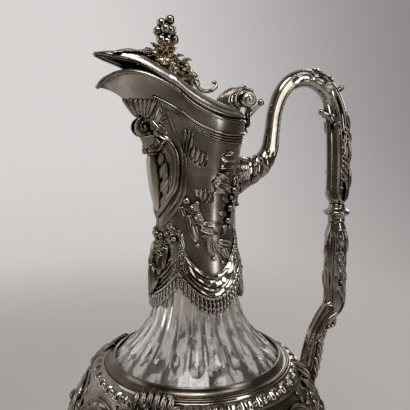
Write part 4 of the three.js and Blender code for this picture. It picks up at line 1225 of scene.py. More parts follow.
def addTube(bm, points, radius, columns=40, sides=8, flat=1.0):
    # a round tube through points in mm, with radius(t)
    path = pathThrough(points)

    def place(u, v):
        here, along = path(u), headingAlong(path, u, 0.008)
        first = unit(np.cross(along, stack(here[..., 0], here[..., 1], 0 * u) + np.array([1e-3, 2e-3, 0])))
        second = np.cross(along, first)
        size = radius(u) * np.where((u < 0.001) | (u > 0.999), 0.05, 1)
        turn = v * fullTurn
        return here + first * (size * np.cos(turn))[..., None] + second * (flat * size * np.sin(turn))[..., None]

    return addGrid(bm, columns, sides, place, outward="middle", closed=True)


def addRoute(bm, points, radius, columns, sides):
    # the same, with its normals turned outwards whatever its shape
    made = addTube(bm, points, radius, columns, sides)
    faces = list({face for vert in made if vert.is_valid for face in vert.link_faces})
    bmesh.ops.recalc_face_normals(bm, faces=faces)


def turnedOnHinge(bm, outline, columns=40):
    # spins an outline of (r, y) points in mm about the hinge's axis
    verts = [bm.verts.new(((hinge["x"] + r) * mm, y * mm, hinge["z"] * mm)) for r, y in outline]
    edges = [bm.edges.new(pair) for pair in zip(verts, verts[1:])]
    centre = (hinge["x"] * mm, 0, hinge["z"] * mm)
    bmesh.ops.spin(
        bm, geom=verts + edges, cent=centre, axis=(0, 1, 0), angle=fullTurn, steps=columns, use_merge=True,
    )
    bmesh.ops.remove_doubles(bm, verts=bm.verts, dist=weldDistance)


def knuckleOutline(low, high):
    r, bore = hinge["knuckle"], hinge["bore"]
    return [
        (bore, low), (r - 0.5, low), (r, low + 0.35), (r, low + 0.8), (r - 0.35, low + 1.1), (r - 0.35, high - 1.1),
        (r, high - 0.8), (r, high - 0.35), (r - 0.5, high), (bore, high), (bore, low),
    ]


def bevelEdges(bm, edges, width, segments):
    bmesh.ops.bevel(
        bm, geom=edges, offset=width * mm, segments=segments, affect="EDGES", profile=0.5, material=-1,
    )


def makeBracket():
    bm = bmesh.new()
    for low, high in ((3.8, 8.4), (-8.4, -3.8)):
        turnedOnHinge(bm, knuckleOutline(low, high))
        face = bm.faces.new([bm.verts.new((x * mm, (low + 0.1) * mm, z * mm)) for x, z in hinge["cheek"]])
        cheek = bmesh.ops.extrude_face_region(bm, geom=[face])["geom"]
        raised = [item for item in cheek if isinstance(item, bmesh.types.BMVert)]
        bmesh.ops.translate(bm, verts=raised, vec=(0, (high - low - 0.2) * mm, 0))
        bevelEdges(bm, list({edge for vert in list(face.verts) + raised for edge in vert.link_edges}), 1.1, 3)
    tail = hinge["tail"]
    addTube(bm, tail, lambda t: 4.4 - 3.2 * t, 50, 24, flat=0.45)
    for side in (1, -1):
        rib = [(x + 0.6, side * (3.6 - 3 * i / 4), z - 0.5) for i, (x, y, z) in enumerate(tail)]
        addTube(bm, rib, lambda t: 0.5 + 0 * t)
    bmesh.ops.recalc_face_normals(bm, faces=bm.faces)
    layAll(addBall, bm, hinge["balls"])
    finishPiece("hinge_bracket_cast", bm, ["hinge_bracket"])


def makePin():
    bm = bmesh.new()
    pin, head = hinge["pin"], hinge["head"]
    turnedOnHinge(bm, [(0, -9), (pin, -9), (pin, 9), (0, 9)], 24)
    bmesh.ops.recalc_face_normals(bm, faces=bm.faces)

    def onEnd(r, turn, y):
        return stack(hinge["x"] + r * np.cos(turn), y, hinge["z"] + r * np.sin(turn))

    for side in (1, -1):
        def rosette(u, v):
            coil = np.mod(1.8 * v + side * u, 1)
            proud = 0.3 * ridge(coil, 0.5, 0.45) * (v > 0.25) + 0.5 * domed(v / 0.3) * (v < 0.3) + 1.3 * (1 - v ** 2)
            return onEnd(head * np.minimum(v / 0.94, 1), u * fullTurn, side * np.where(v > 0.96, 9, 9.5 + proud))

        def back(u, v):
            return onEnd(head * v, u * fullTurn, side * (8.75 + 0.25 * (v > 0.97)))

        addGrid(bm, 60, 24, rosette, outward=Vector((0, side, 0)), closed=True)
        addGrid(bm, 60, 6, back, outward=Vector((0, -side, 0)), closed=True)
    bmesh.ops.remove_doubles(bm, verts=bm.verts, dist=weldDistance)
    finishPiece("hinge_pin_rosettes", bm, ["hinge_pin"], plate)


def makeKnuckle():
    bm = bmesh.new()
    turnedOnHinge(bm, knuckleOutline(-3.5, 3.5))
    bmesh.ops.recalc_face_normals(bm, faces=bm.faces)
    tongue = pathThrough(hinge["tongue"])

    def leaf(u, v):
        x = 2 * v - 1
        spot = tongue(u)
        half = 3.3 * arch(0.22 + 0.74 * u) ** 0.7
        return stack(spot[..., 0], half * x, spot[..., 1] + 0.6 * alternate(2.5 * x, 0.8) - 0.5 * x ** 2)

    addGrid(bm, 30, 20, leaf, outward=Vector((0, 0, 1)))
    finishPiece("lid_knuckle_leaf", bm, ["lid_hinge_knuckle"], body="lid", wall=0.5)


thumb = {
    "route": [(12.8, 259.9), (14.6, 264.2), (18.5, 267.6), (22.9, 269.2), (27.3, 268.8), (30.3, 266.8), (31.4, 264.6)],
    "halfWidth": 7,
    # the cheeks end in an arc round the hinge, clear of the knuckles that they swing over
    "clearance": 4.1, "arcStart": 182, "arc": 128,
}


def makeThumbScroll():
    route = pathThrough(thumb["route"])

    def shell(u, v):
        x = 2 * v - 1
        spot, ahead = route(u), headingAlong(route, u, 0.01)
        half = thumb["halfWidth"] * (0.62 + 0.38 * arch(0.1 + 0.85 * u))
        lift = -0.5 + 0.75 * alternate(4.5 * x, 0.7) - 0.9 * x ** 4
        return stack(spot[..., 0] - ahead[..., 1] * lift, half * x, spot[..., 1] + ahead[..., 0] * lift)

    bm = bmesh.new()
    addGrid(bm, 60, 54, shell, outward=Vector((-0.3, 0, 1)))
    for side in (1, -1):
        def cheek(u, v):
            turn = math.radians(thumb["arcStart"]) - u * math.radians(thumb["arc"])
            rim = route(np.clip(0.02 + 0.86 * u, 0, 1))
            x, z = hinge["x"] + thumb["clearance"] * np.cos(turn), hinge["z"] + thumb["clearance"] * np.sin(turn)
            coil = 0.6 * ridge(np.mod(v * 2 - u, 1), 0.5, 0.3)
            return stack(x + (rim[..., 0] - x) * v, -side * (6 + coil), z + (rim[..., 1] - z) * v)

        addGrid(bm, 50, 16, cheek, outward=Vector((0, -side, 0)))
    finishPiece("thumb_shell", bm, ["thumb_scroll"], body="lid", wall=0.7, **worn)


vine = {
    "middle": (-15, 0, 279), "tilt": 28, "size": (11.6, 5.6, 5),
    # leaves: foot in mm, heading, rise, length and width
    "leaves": [
        ((-22, -2, 282.6), 196, -6, 10, 9), ((-22, 2, 282.6), 164, -6, 10, 9), ((-18, -4, 282.4), 250, -22, 9, 9),
        ((-18, 4, 282.4), 110, -22, 9, 9), ((-10, -4, 278.6), 300, -24, 10, 9), ((-10, 4, 278.6), 60, -24, 10, 9),
        ((-7, 0, 278), 0, -44, 12, 8), ((-5.5, -2.5, 276), 330, -40, 9, 7), ((-5.5, 2.5, 276), 30, -40, 9, 7),
        ((-24, 0, 281.6), 180, -14, 7, 7), ((-25, -2.6, 283), 188, 10, 8, 7), ((-25, 2.6, 283), 172, 10, 8, 7),
        ((-15, -5.2, 280), 270, -50, 7, 7), ((-15, 5.2, 280), 90, -50, 7, 7), ((-27, -4, 283.2), 188, 2, 17, 7),
        ((-27, 4, 283.2), 172, 2, 17, 7),
    ],
    "sprigs": 46,
    # how far from the middle of the boss they root, and the lowest height that they start at
    "sprigReach": (11, 5.2, 4.6), "sprigFloor": 272,
    "grape": 2.45,
    "pip": 0.4,
    "grapes": [
        (-17.8, 0.8, 298.6), (-13.8, -0.4, 300.2), (-19.8, 0.4, 294.6), (-14.4, -2.4, 294.8), (-12.4, 0.8, 295.4),
        (-18.8, -1.6, 290.4), (-16, 2.6, 296.6), (-17.4, 3.2, 291.6), (-11.8, -0.6, 291), (-16.9, -2.8, 295.4),
        (-16, -1.8, 289.4), (-14.6, 1.2, 289),
    ],
    # rods along the finial's axis: middle, radius and length
    "stem": ((-16, 0, 280.6), 1.2, 28),
    "nut": ((-16, 0, 268.95), 3.05, 2.1),
    "tendril": [
        (0.6, 0, 268.8), (3.2, -0.1, 267.1), (6, -0.3, 266.8), (8.8, -0.6, 267.6), (11, -0.4, 269.6),
        (10.6, 0.5, 271.6), (9, 0.9, 271.2),
    ],
}


def addVineLeaf(bm, foot, heading, rise, length, width):
    turned = Matrix.Rotation(math.radians(heading), 3, "Z") @ Matrix.Rotation(-math.radians(rise), 3, "Y")
    frameOf = np.array([list(turned @ Vector(axis)) for axis in ((1, 0, 0), (0, 1, 0), (0, 0, 1))])

    def place(u, v):
        x = 2 * v - 1
        lobe = np.abs(np.sin(math.pi * 2.5 * u ** 0.9))
        half = width / 2 * arch(0.06 + 0.94 * u) ** 0.6 * (0.5 + 0.5 * lobe ** 0.7)
        along = length * (u + 0.1 * np.abs(x) * (lobe - 0.5))
        veins = 0.35 * np.cos(fullTurn * (2.5 * u ** 0.9 - 0.4 * np.abs(x)) + math.pi) * (1 - u)
        up = 0.9 * (1 - x ** 2) * np.sin(math.pi * u) + veins + 0.5 * bump(x, 0, 0.12) - 1.6 * u ** 3
        return np.array(foot) + stack(along, half * x, up) @ frameOf

    addGrid(bm, 30, 16, place, outward=turned @ Vector((0, 0, 1)))


def addRod(bm, middle, radius, length, segments):
    bmesh.ops.create_cone(
        bm, cap_ends=True, segments=segments, radius1=radius * mm, radius2=radius * mm, depth=length * mm,
        matrix=Matrix.Translation(Vector(middle) * mm),
    )


def makeVine():
    middle = Vector(vine["middle"]) * mm
    boss = Matrix.Translation(middle) @ Matrix.Rotation(math.radians(vine["tilt"]), 4, "Y")
    bm = bmesh.new()
    bmesh.ops.create_icosphere(
        bm, subdivisions=4, radius=1, matrix=boss @ Matrix.Diagonal([size * mm for size in vine["size"]] + [1]),
    )
    for vert in bm.verts:
        x, y, z = vert.co / mm
        swell = 0.5 * math.sin(1.7 * x + 1.1 * y) * math.sin(1.9 * z + 1.3 * y)
        vert.co += (vert.co - middle).normalized() * swell * mm
    finishPiece("vine_boss", bm, ["vine_leaf_spray"], vineGilt, "lid", slot="worn_silver")

    bm = bmesh.new()
    layAll(addVineLeaf, bm, vine["leaves"])
    # small curled leaves all over the boss, denser and steeper under the grapes
    chance = random.Random(7)
    long, wide, tall = vine["sprigReach"]
    for i in range(vine["sprigs"]):
        along = -0.95 + 1.9 * (i + 0.5) / vine["sprigs"]
        turn = i * 2.4 + chance.uniform(-0.3, 0.3)
        side = math.sqrt(1 - along ** 2)
        spot = boss @ (Vector((long * along, wide * side * math.sin(turn), tall * side * math.cos(turn))) * mm) / mm
        if spot.z < vine["sprigFloor"] or math.cos(turn) < -0.45:
            continue
        steep = 62 * math.exp(-((spot.x + 16) / 5) ** 2) + 10
        heading = math.degrees(math.atan2(spot.y, spot.x + 15)) + chance.uniform(-40, 40)
        length = chance.uniform(4, 6)
        addVineLeaf(bm, tuple(spot), heading, steep + chance.uniform(-14, 20), length, length * chance.uniform(0.7, 1))
    finishPiece("vine_leaves", bm, ["vine_leaf_spray"], vineGilt, "lid", wall=0.4, slot="worn_silver")

    bm = bmesh.new()
    for spot in vine["grapes"]:
        addBall(bm, spot, vine["grape"])
    for x, y, z in vine["grapes"]:
        addBall(bm, (x, y - 1.2, z + 1.9), vine["pip"], 1)
    addRod(bm, *vine["stem"], 24)
    finishPiece("grapes", bm, ["grape_finial"], body="lid")

    bm = bmesh.new()
    addRoute(bm, vine["tendril"], lambda t: 1.15 - 0.3 * t, 70, 12)
    finishPiece("tendril", bm, ["vine_tendril"], body="lid")

    bm = bmesh.new()
    addRod(bm, *vine["nut"], 6)
    bevelEdges(bm, list(bm.edges), 0.25, 2)
    finishPiece("lid_nut", bm, ["finial_nut"], body="lid")


makeBracket()
makePin()
makeKnuckle()
makeThumbScroll()
makeVine()
print("hinge and vine made")

# handle

upperRoute = pathThrough([
    (19, 222), (24.1, 223.4), (31.5, 225.6), (38.6, 229.6), (42.8, 236), (44.4, 245), (46, 257), (49.6, 266.4),
    (55.6, 273), (64, 275.8), (73, 274.4), (80.6, 269), (85.6, 260), (87.9, 248), (89.3, 232), (89.5, 216),
    (89.5, 205.1),
])
upperLength, fallTurn = 200, 17
upperThickness = curveThrough([
    (0, 11), (0.06, 8), (0.11, 6), (0.16, 5.2), (0.24, 4.4), (0.36, 4.4), (0.5, 5), (0.6, 5.6), (0.78, 6.8),
    (0.93, 7), (0.98, 6.2), (1, 4.6),
])
lowerRoute = pathThrough([
    (89.5, 194), (89.6, 184), (89.5, 168), (89.8, 152), (88.6, 142.5), (82.5, 134.5), (77.6, 126), (75.2, 116),
    (73.4, 107), (70.6, 99), (66, 92),
])
lowerThickness = curveThrough([
    (0, 4.6), (0.04, 6), (0.14, 7), (0.36, 6.6), (0.46, 6.6), (0.55, 5.6), (0.66, 5.4), (0.8, 6), (1, 6.6),
])


def onBar(route, thickness, t, turn, lift):
    # turn 0 faces the outer side of the bend, a quarter faces away from the camera, three quarters faces it
    t = np.asarray(t, float)
    here, along = route(t), headingAlong(route, t, 0.004)
    normal = stack(-along[..., 1], 0 * t, along[..., 0])
    side = stack(0 * t, 1 + 0 * t, 0 * t)
    size = thickness(t)
    wide = np.where(t < 0.12, 0.7, 0.92) if route is upperRoute else 0.92
    angle = turn * fullTurn
    spot = stack(here[..., 0], 0 * t, here[..., 1])
    spot = spot + normal * (size * np.cos(angle))[..., None] + side * (size * wide * np.sin(angle))[..., None]
    away = normal * np.cos(angle)[..., None] + side * np.sin(angle)[..., None]
    return spot + away * np.asarray(lift, float)[..., None]


def onUpper(degrees, along, lift):
    # degrees from the arm's -Y side towards the outer side of the bend, and mm along the arm
    degrees, along, lift = np.broadcast_arrays(degrees, along, lift)
    return onBar(upperRoute, upperThickness, np.clip(along / upperLength, 0.001, 0.999), 0.75 + degrees / 360, lift)


def onFall(route, thickness, first=0.0):
    # the same where an arm falls, with heights in place of the length, and degrees from nearer to the camera
    shares = np.linspace(first, 1, 240)
    heights = route(shares)[:, 1]

    def on(degrees, z, lift):
        degrees, z, lift = np.broadcast_arrays(degrees, z, lift)
        t = np.interp(-z, -heights, shares)
        return onBar(route, thickness, t, 0.75 + (degrees - fallTurn) / 360, lift)

    return on


onUpperFall = onFall(upperRoute, upperThickness, 0.66)
onLower = onFall(lowerRoute, lowerThickness)


def onHand(on, hand):
    # the same surface on the -Y side (1) or the +Y side (-1) of the handle
    return lambda *spot: on(*spot) * np.array([1, hand, 1])


def fillet(turn, middle, width):
    gap = np.abs(np.mod(turn - middle + 0.5, 1) - 0.5)
    return np.clip(1 - (gap / width) ** 2, 0, 1)


def within(u, start, end, soft=0.03):
    return np.clip((u - start) / soft, 0, 1) * np.clip((end - u) / soft, 0, 1)


def makeArm(name, node, route, thickness, relief, columns):
    bm = bmesh.new()
    # each side mirrors the other about the handle's plane
    addGrid(
        bm, columns, 120, lambda u, v: onBar(route, thickness, u, v, relief(u, np.where(v < 0.5, 1 - v, v))),
        outward="middle", closed=True,
    )
    bmesh.ops.holes_fill(bm, edges=[edge for edge in bm.edges if edge.is_boundary], sides=0)
    bmesh.ops.recalc_face_normals(bm, faces=bm.faces)
    finishPiece(name, bm, [node])


def upperRelief(u, v):
    rising = within(u, 0.16, 0.45)
    off = np.abs(v - 0.765) * fullTurn
    flat = np.where(off < 0.42, upperThickness(u) * (math.cos(0.42) / np.cos(np.minimum(off, 0.42)) - 1), 0)
    lines = 0.6 * (fillet(v, 0.842, 0.012) + fillet(v, 0.69, 0.012)) + 0.4 * fillet(v, 0.635, 0.012)
    lift = rising * (lines + flat - 0.1)
    lift = lift + within(u, 0.06, 0.16) * (1.2 * alternate(27 * u - 3 * v, 0.8) - 0.4)
    groove = -1.9 * fillet(v, 0.615, 0.062) ** 0.6
    flange = 0.9 * fillet(v, 0.5, 0.035)
    band = 0.55 * fillet(v, 0.705, 0.016) - 0.5 * fillet(v, 0.76, 0.03) - 0.8 * fillet(v, 0.93, 0.03)
    return lift + within(u, 0.6, 0.99, 0.04) * (groove + flange + band)


def lowerRelief(u, v):
    grip = within(u, 0.05, 0.48)
    wavy = 0.6 + 0.3 * np.sin(fullTurn * 9 * u)
    lift = grip * (wavy * fillet(v, 0.5, 0.04) - 1.8 * fillet(v, 0.6, 0.05) ** 0.6 + 0.5 * fillet(v, 0.67, 0.015))
    lift = lift - grip * 0.7 * fillet(v, 0.94, 0.03)
    lines = sum(fillet(v, middle, 0.02) for middle in (0.55, 0.62, 0.69))
    return lift + within(u, 0.5, 1.0) * (0.75 * lines - 0.3)


upperLeaves = {
    # on the bend: degrees and mm along the arm
    "scroll": [(34, 86), (30, 92), (16, 97.5), (-10, 99), (-22, 96), (-14, 92.6), (0, 93.4)],
    "bend": [
        (32, 99, 64, 12, 3.6), (14, 100, 84, 11, 3.4), (-6, 102, 104, 10, 3.2), (28, 109, 66, 11, 3.2),
        (2, 111, 92, 11, 3.2), (-22, 108, 96, 11, 3),
    ],
    "stem": [(52, 94), (38, 104), (20, 114), (13, 124), (14, 136), (16, 145)],
    # on the fall: degrees and heights
    "beads": [(-30, 256.6, 1.2), (-7, 251.9, 1.3), (22, 245.6, 1.3), (8, 241.5, 1.2), (3, 237.7, 1.3), (10, 234, 1.1)],
    "fall": [
        (-26, 252, -70, 8, 3, 1.5, 0, 0, 0.5), (42, 258, -78, 13, 3.6, 1.5, 0, 0.16, 0.45),
        (34, 249, -70, 11, 3.6, 1.5, 0, 0.16, 0.45), (46, 243, -98, 14, 3.6, 1.5, 0, 0.16, 0.45),
        (50, 226, -96, 12, 3.6, 1.5, 0, 0.16, 0.45),
    ],
    "twist": [(6, 234), (16, 229), (10, 223), (14, 218)],
    "loop": [(8, 221), (24, 218), (33, 212.6), (26, 207), (8, 205.6), (-4, 209), (-2, 214), (9, 215)],
    # spurs that stand off the arm: route and thickness
    "spurs": [
        ([(82, 0, 265.5), (87, 0, 269.4), (90.2, 0, 271.6)], 2.6),
        ([(84.5, 0, 252), (80.2, 0, 256.2), (76.6, 0, 257.6)], 2.8),
    ],
    "root": [
        (-52, 2, 58, 17, 4), (-32, 2, 58, 19, 4.2), (-12, 2, 60, 20, 4.2), (8, 2, 62, 20, 4), (28, 3, 66, 17, 3.8),
        (-40, 12, 48, 11, 3.4), (-16, 14, 50, 11, 3.4),
    ],
}
lowerLeaves = {
    "grip": [
        (36, 190, -92, 14), (-8, 177, -72, 12), (14, 178, -96, 12), (32, 175, -104, 12), (6, 168, -66, 11),
        (24, 164, -92, 12), (-12, 164, -100, 12), (4, 157, -80, 9), (34, 155, -100, 9),
    ],
    "beads": [(12, 176.4, 1.2), (22, 169, 1.1), (14, 158.6, 1.3), (2, 186, 1)],
    "outerStem": [(36, 160), (42, 152), (44, 146), (40, 140)],
    "bendStem": [(20, 140.6), (8, 136.5), (0, 131), (-4, 124)],
    "twist": [(22, 131), (24, 124), (24, 115), (20, 106), (16, 99)],
    "bendBeads": [(26, 132.6, 1.4), (8, 124, 1.2), (4, 113.4, 1.4), (6, 104, 1.2)],
    "curl": [(86.4, 0, 138), (90, 0, 134.8), (90.2, 0, 131), (87.6, 0, 129.6)],
}


def layTwist(lay, route, size, taper, height, twist, columns):
    # height: of the ground and the ridges. twist: ridges, their lean and sharpness
    layStrip(
        lay, route, lambda u: size * (1 - taper * (2 * u - 1) ** 2),
        lambda u, x: height[0] + height[1] * alternate(twist[0] * u + twist[1] * x, twist[2]) * domed(x), columns, 12,
    )


def buildUpperLeaves(bm):
    for hand in (1, -1):
        bend = (bm, onHand(onUpper, hand), 1, 5.4)
        layCord(bend, upperLeaves["scroll"], 0.9, 50, 10)
        layAll(layLeaf, bend, upperLeaves["bend"], height=1.6, curl=-0.16, hollow=0.45)
        layCord(bend, upperLeaves["stem"], 0.75, 80)
        fall = (bm, onHand(onUpperFall, hand), 1, 6.6)
        layAll(layBead, fall, upperLeaves["beads"])
        layAll(layLeaf, fall, upperLeaves["fall"])
        grip = (bm, onHand(onUpperFall, hand), 1, 6.8)
        layTwist(grip, upperLeaves["twist"], 2.4, 0.35, (0.5, 1.9), (4.5, 0.6, 1), 70)
        layCord(grip, upperLeaves["loop"], 1.35, 60, 10, taper=0.15)
    for route, size in upperLeaves["spurs"]:
        addRoute(bm, route, lambda t: size * (1 - 0.45 * t), 20, 14)
        addBall(bm, route[-1], size * 0.66)
    for hand in (1, -1):
        root = (bm, onHand(onUpper, hand), 1, 8.4)
        layAll(layLeaf, root, upperLeaves["root"], height=1.5, curl=-0.2, hollow=0.5)


def buildLowerLeaves(bm):
    for hand in (1, -1):
        grip = (bm, onHand(onLower, hand), 1, 6.8)
        layLeaf(grip, 8, 191, -86, 12, 6, 1.8, hollow=0.1)
        layAll(layLeaf, grip, lowerLeaves["grip"], width=3.8, height=1.6, curl=0.15, hollow=0.45)
        layAll(layBead, grip, lowerLeaves["beads"])
        layCord(grip, lowerLeaves["outerStem"], 0.9, 40)
        bend = (bm, onHand(onLower, hand), 1, 5.6)
        layCord(bend, lowerLeaves["bendStem"], 1.1, 50, 10)
        layTwist(bend, lowerLeaves["twist"], 2.3, 0.3, (0.4, 1.6), (7, 0.5, 0.9), 100)
        layAll(layBead, bend, lowerLeaves["bendBeads"])
    addRoute(bm, lowerLeaves["curl"], lambda t: 1.8 - 0.5 * t, 30, 14)


knop = {
    "x": 89.5, "z": 199.5,
    "outline": [
        (0, 5.3), (4.4, 5.3), (4.8, 4.4), (4.7, 3.2), (5.6, 2.2), (7.5, 1), (7.7, 0.2), (7.3, -0.7), (5.6, -1.9),
        (4.9, -3), (5.1, -4.4), (4.8, -5.2), (0, -5.2),
    ],
}


def makeHandleKnop():
    bm = bmesh.new()
    smooth = pathThrough(knop["outline"])(np.linspace(0, 1, 60))
    revolved(bm, [(abs(r), knop["z"] + z) for r, z in smooth], 48)
    bmesh.ops.translate(bm, verts=bm.verts, vec=(knop["x"] * mm, 0, 0))
    finishPiece("grip_knop", bm, ["handle_knop"])


rootLeaf = {
    "leaves": [
        (172, 206.5, 84, 15, 7), (162, 209, 96, 14, 6), (154, 215, 112, 11, 5), (176, 234.5, -84, 10, 6),
        (166, 233, -104, 11, 5), (158, 226, -150, 8, 4.4), (152, 213, 76, 8, 3.4),
    ],
    "beads": [(153, 222, 1.4), (151, 218.6, 1.2), (150, 209.4, 1.2)],
}


def buildRootLeaf(bm):
    for lay in onBothSides(bm):
        layAll(layLeaf, lay, rootLeaf["leaves"], height=1.9, lobes=3)
        layAll(layBead, lay, rootLeaf["beads"])


makeArm("upper_arm", "handle_upper_arm", upperRoute, upperThickness, upperRelief, 320)
makeArm("lower_arm", "handle_lower_arm", lowerRoute, lowerThickness, lowerRelief, 240)
ornament("upper_arm_leaves", ["handle_upper_arm"], buildUpperLeaves)
ornament("lower_arm_leaves", ["handle_lower_arm"], buildLowerLeaves)
ornament("root_leaves", ["handle_root_leaf"], buildRootLeaf, **worn)
makeHandleKnop()
print("handle made")

# body casing, its ornament, the ring and the foot

casing = {"wall": 1.2, "lining": 0.2, "ornamentRadius": 62}


def casingSheet(u, v):
    degrees = 360 * u
    z = casingPath(v).T[1]
    turn = np.radians(degrees)
    low = np.clip((68 - z) / 8, 0, 1) * np.clip((z - 39) / 5, 0, 1)
    roll = 0.3 * bump(z, 72, 1.2) - 0.4 * bump(z, 75, 0.8) - 0.4 * bump(z, 69, 0.8)
    scrolls = 0.16 * z + 0.55 * np.sin(18 * turn + 0.1 * z) + 0.4 * np.sin(0.33 * z + 9 * turn)
    chased = (0.9 * alternate(scrolls, 0.7) - 0.35) * np.clip((z - 78) / 3, 0, 1) * np.clip((119.8 - z) / 1.5, 0, 1)
    return onCasing(degrees, z, 1.3 * alternate(degrees / 18, 0.7) * low + roll + chased)


def casingLining(u, v):
    return onCasing(360 * u, casingPath(0.04 + 0.92 * v).T[1], -1.7 + 0 * v)


band = {"top": 126.3, "foot": 120.4, "studs": 40}


def beadBand(u, v):
    phase = np.mod(u * band["studs"], 1)
    rail = np.maximum(0.8 * ridge(v, 0.08, 0.07), 0.9 * ridge(v, 0.92, 0.07))
    across = np.clip(1 - ((v - 0.5) / 0.26) ** 4, 0, 1)
    stud = np.clip(1 - ((phase - 0.4) / 0.3) ** 6, 0, 1) * across * (1.2 - 0.6 * bump(phase, 0.4, 0.1))
    bead = 1.2 * np.sqrt(np.clip(1 - ((phase - 0.88) / 0.08) ** 2 - ((v - 0.5) / 0.13) ** 2, 0, 1))
    lift = sunk(0.35 + np.maximum.reduce([rail, stud, bead]), 0.1, v)
    return onCasing(360 * u, band["top"] - (band["top"] - band["foot"]) * v, lift)


volute = {
    "z": 106.5, "across": 12.5, "tall": 10.8,
    # cords round the medallion, with degrees from its middle
    "cords": [
        [(-13, 104), (-14, 111), (-8, 117.4), (0, 119), (8, 117), (13, 111.4)],
        [(-15.5, 100), (-16.5, 108), (-12, 116), (-5, 119.6)],
        [(14.5, 106), (13, 98), (6, 93.2), (-3, 92.8), (-11, 96)],
    ],
}


def shifted(route, degrees):
    return [(degrees + off, z) for off, z in route]


hook = {"route": [(0, 118.6), (2.6, 117.4), (3.4, 115.2), (1.6, 113.6), (-0.4, 114.6)], "spacing": 8.5}


def buildHooks(lay, first, last):
    # a row of small curled hooks below the bead band
    for degrees in np.arange(first, last, hook["spacing"]):
        layCord(lay, shifted(hook["route"], degrees), 0.9, 24)


def buildVolute(lay, degrees):
    bm, _, side, radius = lay
    z, across, tall = volute["z"], volute["across"], volute["tall"]

    def disc(u, v):
        # a boss in the middle, a coil round it, four rings and a rim
        rings = sum(ridge(v, middle, 0.045) for middle in (0.8, 0.7, 0.6, 0.5))
        rim = 1.3 * ridge(v, 0.93, 0.07)
        boss = 2.6 * domed(v / 0.27) * (v < 0.27)
        curl = 0.7 * ridge(np.mod(2.2 * v - u, 1), 0.5, 0.3) * (v > 0.27) * (v < 0.5)
        lift = np.where(v > 0.999, -0.4, 1 + 0.9 * (1 - v ** 2) + 0.65 * rings + rim + boss + curl)
        dx, dz = across * v * np.cos(u * fullTurn), tall * v * np.sin(u * fullTurn)
        return onCasing(side * (degrees + np.degrees(dx / radius)), z + dz, lift)

    addGrid(bm, 96, 44, disc, awayFrom(lay, (degrees, z)), closed=True)
    for route in volute["cords"]:
        layCord(lay, shifted(route, degrees), 0.8, 60, 10)
    for step in (-1, 1):
        layLeaf(lay, degrees + 4 * step, 94, -90 + 26 * step, 13, 7, 2.2, 3)
    for turn in range(10, 370, 30):
        foot = z + tall * math.sin(math.radians(turn))
        if foot < 114.5:
            layLeaf(lay, degrees + 11.6 * math.cos(math.radians(turn)), foot, turn + 40, 7, 3.6, 2, 0, 0.2, 0.4)


def buildAcanthus(lay, degrees, width):
    layLeaf(lay, degrees, 118, -90, 38, width, 3.2, 5)
    for step in (-1, 1):
        lean = 5.4 * step
        layLeaf(lay, degrees + lean, 117.6, -90 + 34 * step, 13, 6, 2.6, 3, -0.12 * step)
        layLeaf(lay, degrees + 1.2 * lean, 107, -90 + 42 * step, 13, 6.4, 2.4, 3, -0.12 * step)
        layLeaf(lay, degrees + lean, 96, -90 + 38 * step, 12, 6, 2.2, 3, -0.1 * step)
    for step in (-2, -1, 0, 1, 2):
        layLeaf(lay, degrees + 1 + 2 * step, 113 - abs(step), 90 - 17 * step, 12, 3.8, 3.8, hollow=0.35)


climbing = {
    "length": 14,
    "rise": [(56, 120), (52.2, 124.3), (49.4, 127.2), (47.6, 128.6), (46, 130.4)],
    "small": [(37, 3, 150), (53.5, 3, 30), (40, 7, 130), (50.5, 7, 50)],
}
shoulderRise = pathThrough(climbing["rise"])


def onShoulder(degrees, along, lift):
    # from the casing up over the bead band onto the ring, with along in mm from its foot
    r, z = shoulderRise(np.clip(along / climbing["length"], 0, 1)).T
    return around(r.T + 0.6 * lift, math.pi + np.radians(degrees), z.T + 0.8 * lift)


def buildClimbingLeaves(bm, side):
    lay = (bm, onShoulder, side, 50)
    for step in (-2.5, -1.5, -0.5, 0.5, 1.5, 2.5):
        length = 13 - 1.1 * abs(step)
        layLeaf(lay, 45 + 3.4 * step, 0.6, 90 - 9 * step, length, 3.4, 2, curl=0.08 * step, hollow=0.4)
    layAll(layLeaf, lay, climbing["small"], length=6, width=3, height=1.6, hollow=0.3)


def buildFrontClump(lay):
    buildAcanthus(lay, 42.5, 17)
    buildClimbingLeaves(lay[0], lay[2])


def buildFlankClump(lay):
    buildAcanthus(lay, 80, 20)
    buildHooks(lay, 58, 104)


def buildRearClump(lay):
    buildAcanthus(lay, 148, 16)
    buildHooks(lay, 134, 172)


def buildFootLeaf(bm):
    sides = onBothSides(bm, onCasing, 64)
    layLeaf(sides[0], 180, 112, -90, 32, 18, 2.6, 5)
    for lay in sides:
        layLeaf(lay, 172, 110, -70, 14, 7, 2.2, 3)
        layLeaf(lay, 170, 100, -60, 14, 7, 2.2, 3)


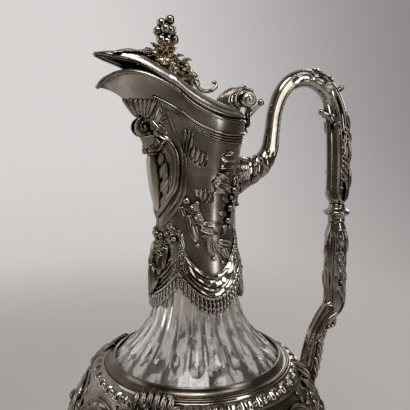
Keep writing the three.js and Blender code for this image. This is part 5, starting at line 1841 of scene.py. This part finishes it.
shoulderPieces = [
    ("medallion_front", "front_volute", lambda lay: buildVolute(lay, 17.5)),
    ("medallion_side", "side_volute", lambda lay: buildVolute(lay, 118)),
    ("leaf_clump_front", "acanthus", buildFrontClump),
    ("leaf_clump_flank", "flank_acanthus", buildFlankClump),
    ("leaf_clump_rear", "rear_acanthus", buildRearClump),
]
turnedPieces = {
    # node, material, columns, whether its edges are bevelled, and its outline of (r, z)
    "shoulder_cove": ("shoulder_ring", coveSilver, 160, False, [
        (43.6, 130), (44, 130.3), (44.5, 130.2), (44.8, 129.8), (44.9, 129.3), (45.3, 128.5), (46, 127.8),
        (46.9, 127.2), (47.9, 126.9), (48.2, 127.1), (48.6, 127.2), (48.9, 126.9), (48.8, 126.5), (48, 126.3),
        (46.4, 126.5), (44, 128.6), (43.4, 129.4), (43.6, 130),
    ]),
    "stem_cup_turned": ("stem_cup", silver, 128, True, [
        (0, 36.9), (19.4, 36.9), (24, 37.6), (25.8, 37.9), (26.4, 37.2), (25.6, 36.4), (22, 35), (16, 33.6),
        (13.4, 32.2), (13, 31), (0, 31),
    ]),
    "stem_knop_turned": ("stem_knop", silver, 128, True, [
        (0, 30.7), (11, 30.7), (12.4, 30.3), (13.6, 29.4), (14.4, 28.4), (14.6, 27.6), (14.2, 26.6), (13, 25.5),
        (11.4, 24.9), (0, 24.9),
    ]),
    "foot_plate_turned": ("foot_base_plate", silver, 128, True, [
        (0, 0), (49.2, 0), (49.8, 0.4), (50, 1), (50, 3.2), (49.7, 4.2), (48.6, 5), (43.5, 5), (43.5, 3), (0, 3),
    ]),
    "foot_dome_turned": ("foot_dome", silver, 128, True, [
        (10.5, 24.6), (11, 23.4), (12.4, 21.9), (17, 19.4), (24, 17.4), (32, 14.6), (38.6, 11), (40.6, 9.4),
        (42, 8.8), (43.6, 8.6), (45.6, 7.6), (46.8, 6.4), (47.6, 5.3), (45.6, 5.3), (41, 8), (31, 13), (23, 16),
        (16, 18), (10, 21.5), (9, 23.4), (10.5, 24.6),
    ]),
}


def makeTurnedPieces():
    for name, (node, material, columns, bevelled, outline) in turnedPieces.items():
        bm = bmesh.new()
        revolved(bm, outline, columns)
        piece = finishPiece(name, bm, [node], material)
        if bevelled:
            bevel = piece.modifiers.new("edges", "BEVEL")
            bevel.width = 0.25 * mm
            bevel.segments = 2
            bevel.limit_method = "ANGLE"


gridPiece("casing_sheet", ["body_casing"], 330, 130, casingSheet, material=casingSilver, wall=casing["wall"])
# its near white is painted light seen through the glass
gridPiece("casing_lining", ["body_casing"], 96, 48, casingLining, material=lining, wall=casing["lining"])
gridPiece("bead_band", ["bead_and_reel_band"], band["studs"] * 16, 20, beadBand, wall=0.35)
for piece, node, build in shoulderPieces:
    for name, side in bothSides:
        sidePiece(name, side, piece, node, build, onCasing, casing["ornamentRadius"], material=chasedSilver)
ornament("handle_leaf_back", ["handle_foot_leaf"], buildFootLeaf, chasedSilver)
makeTurnedPieces()
print("body made")
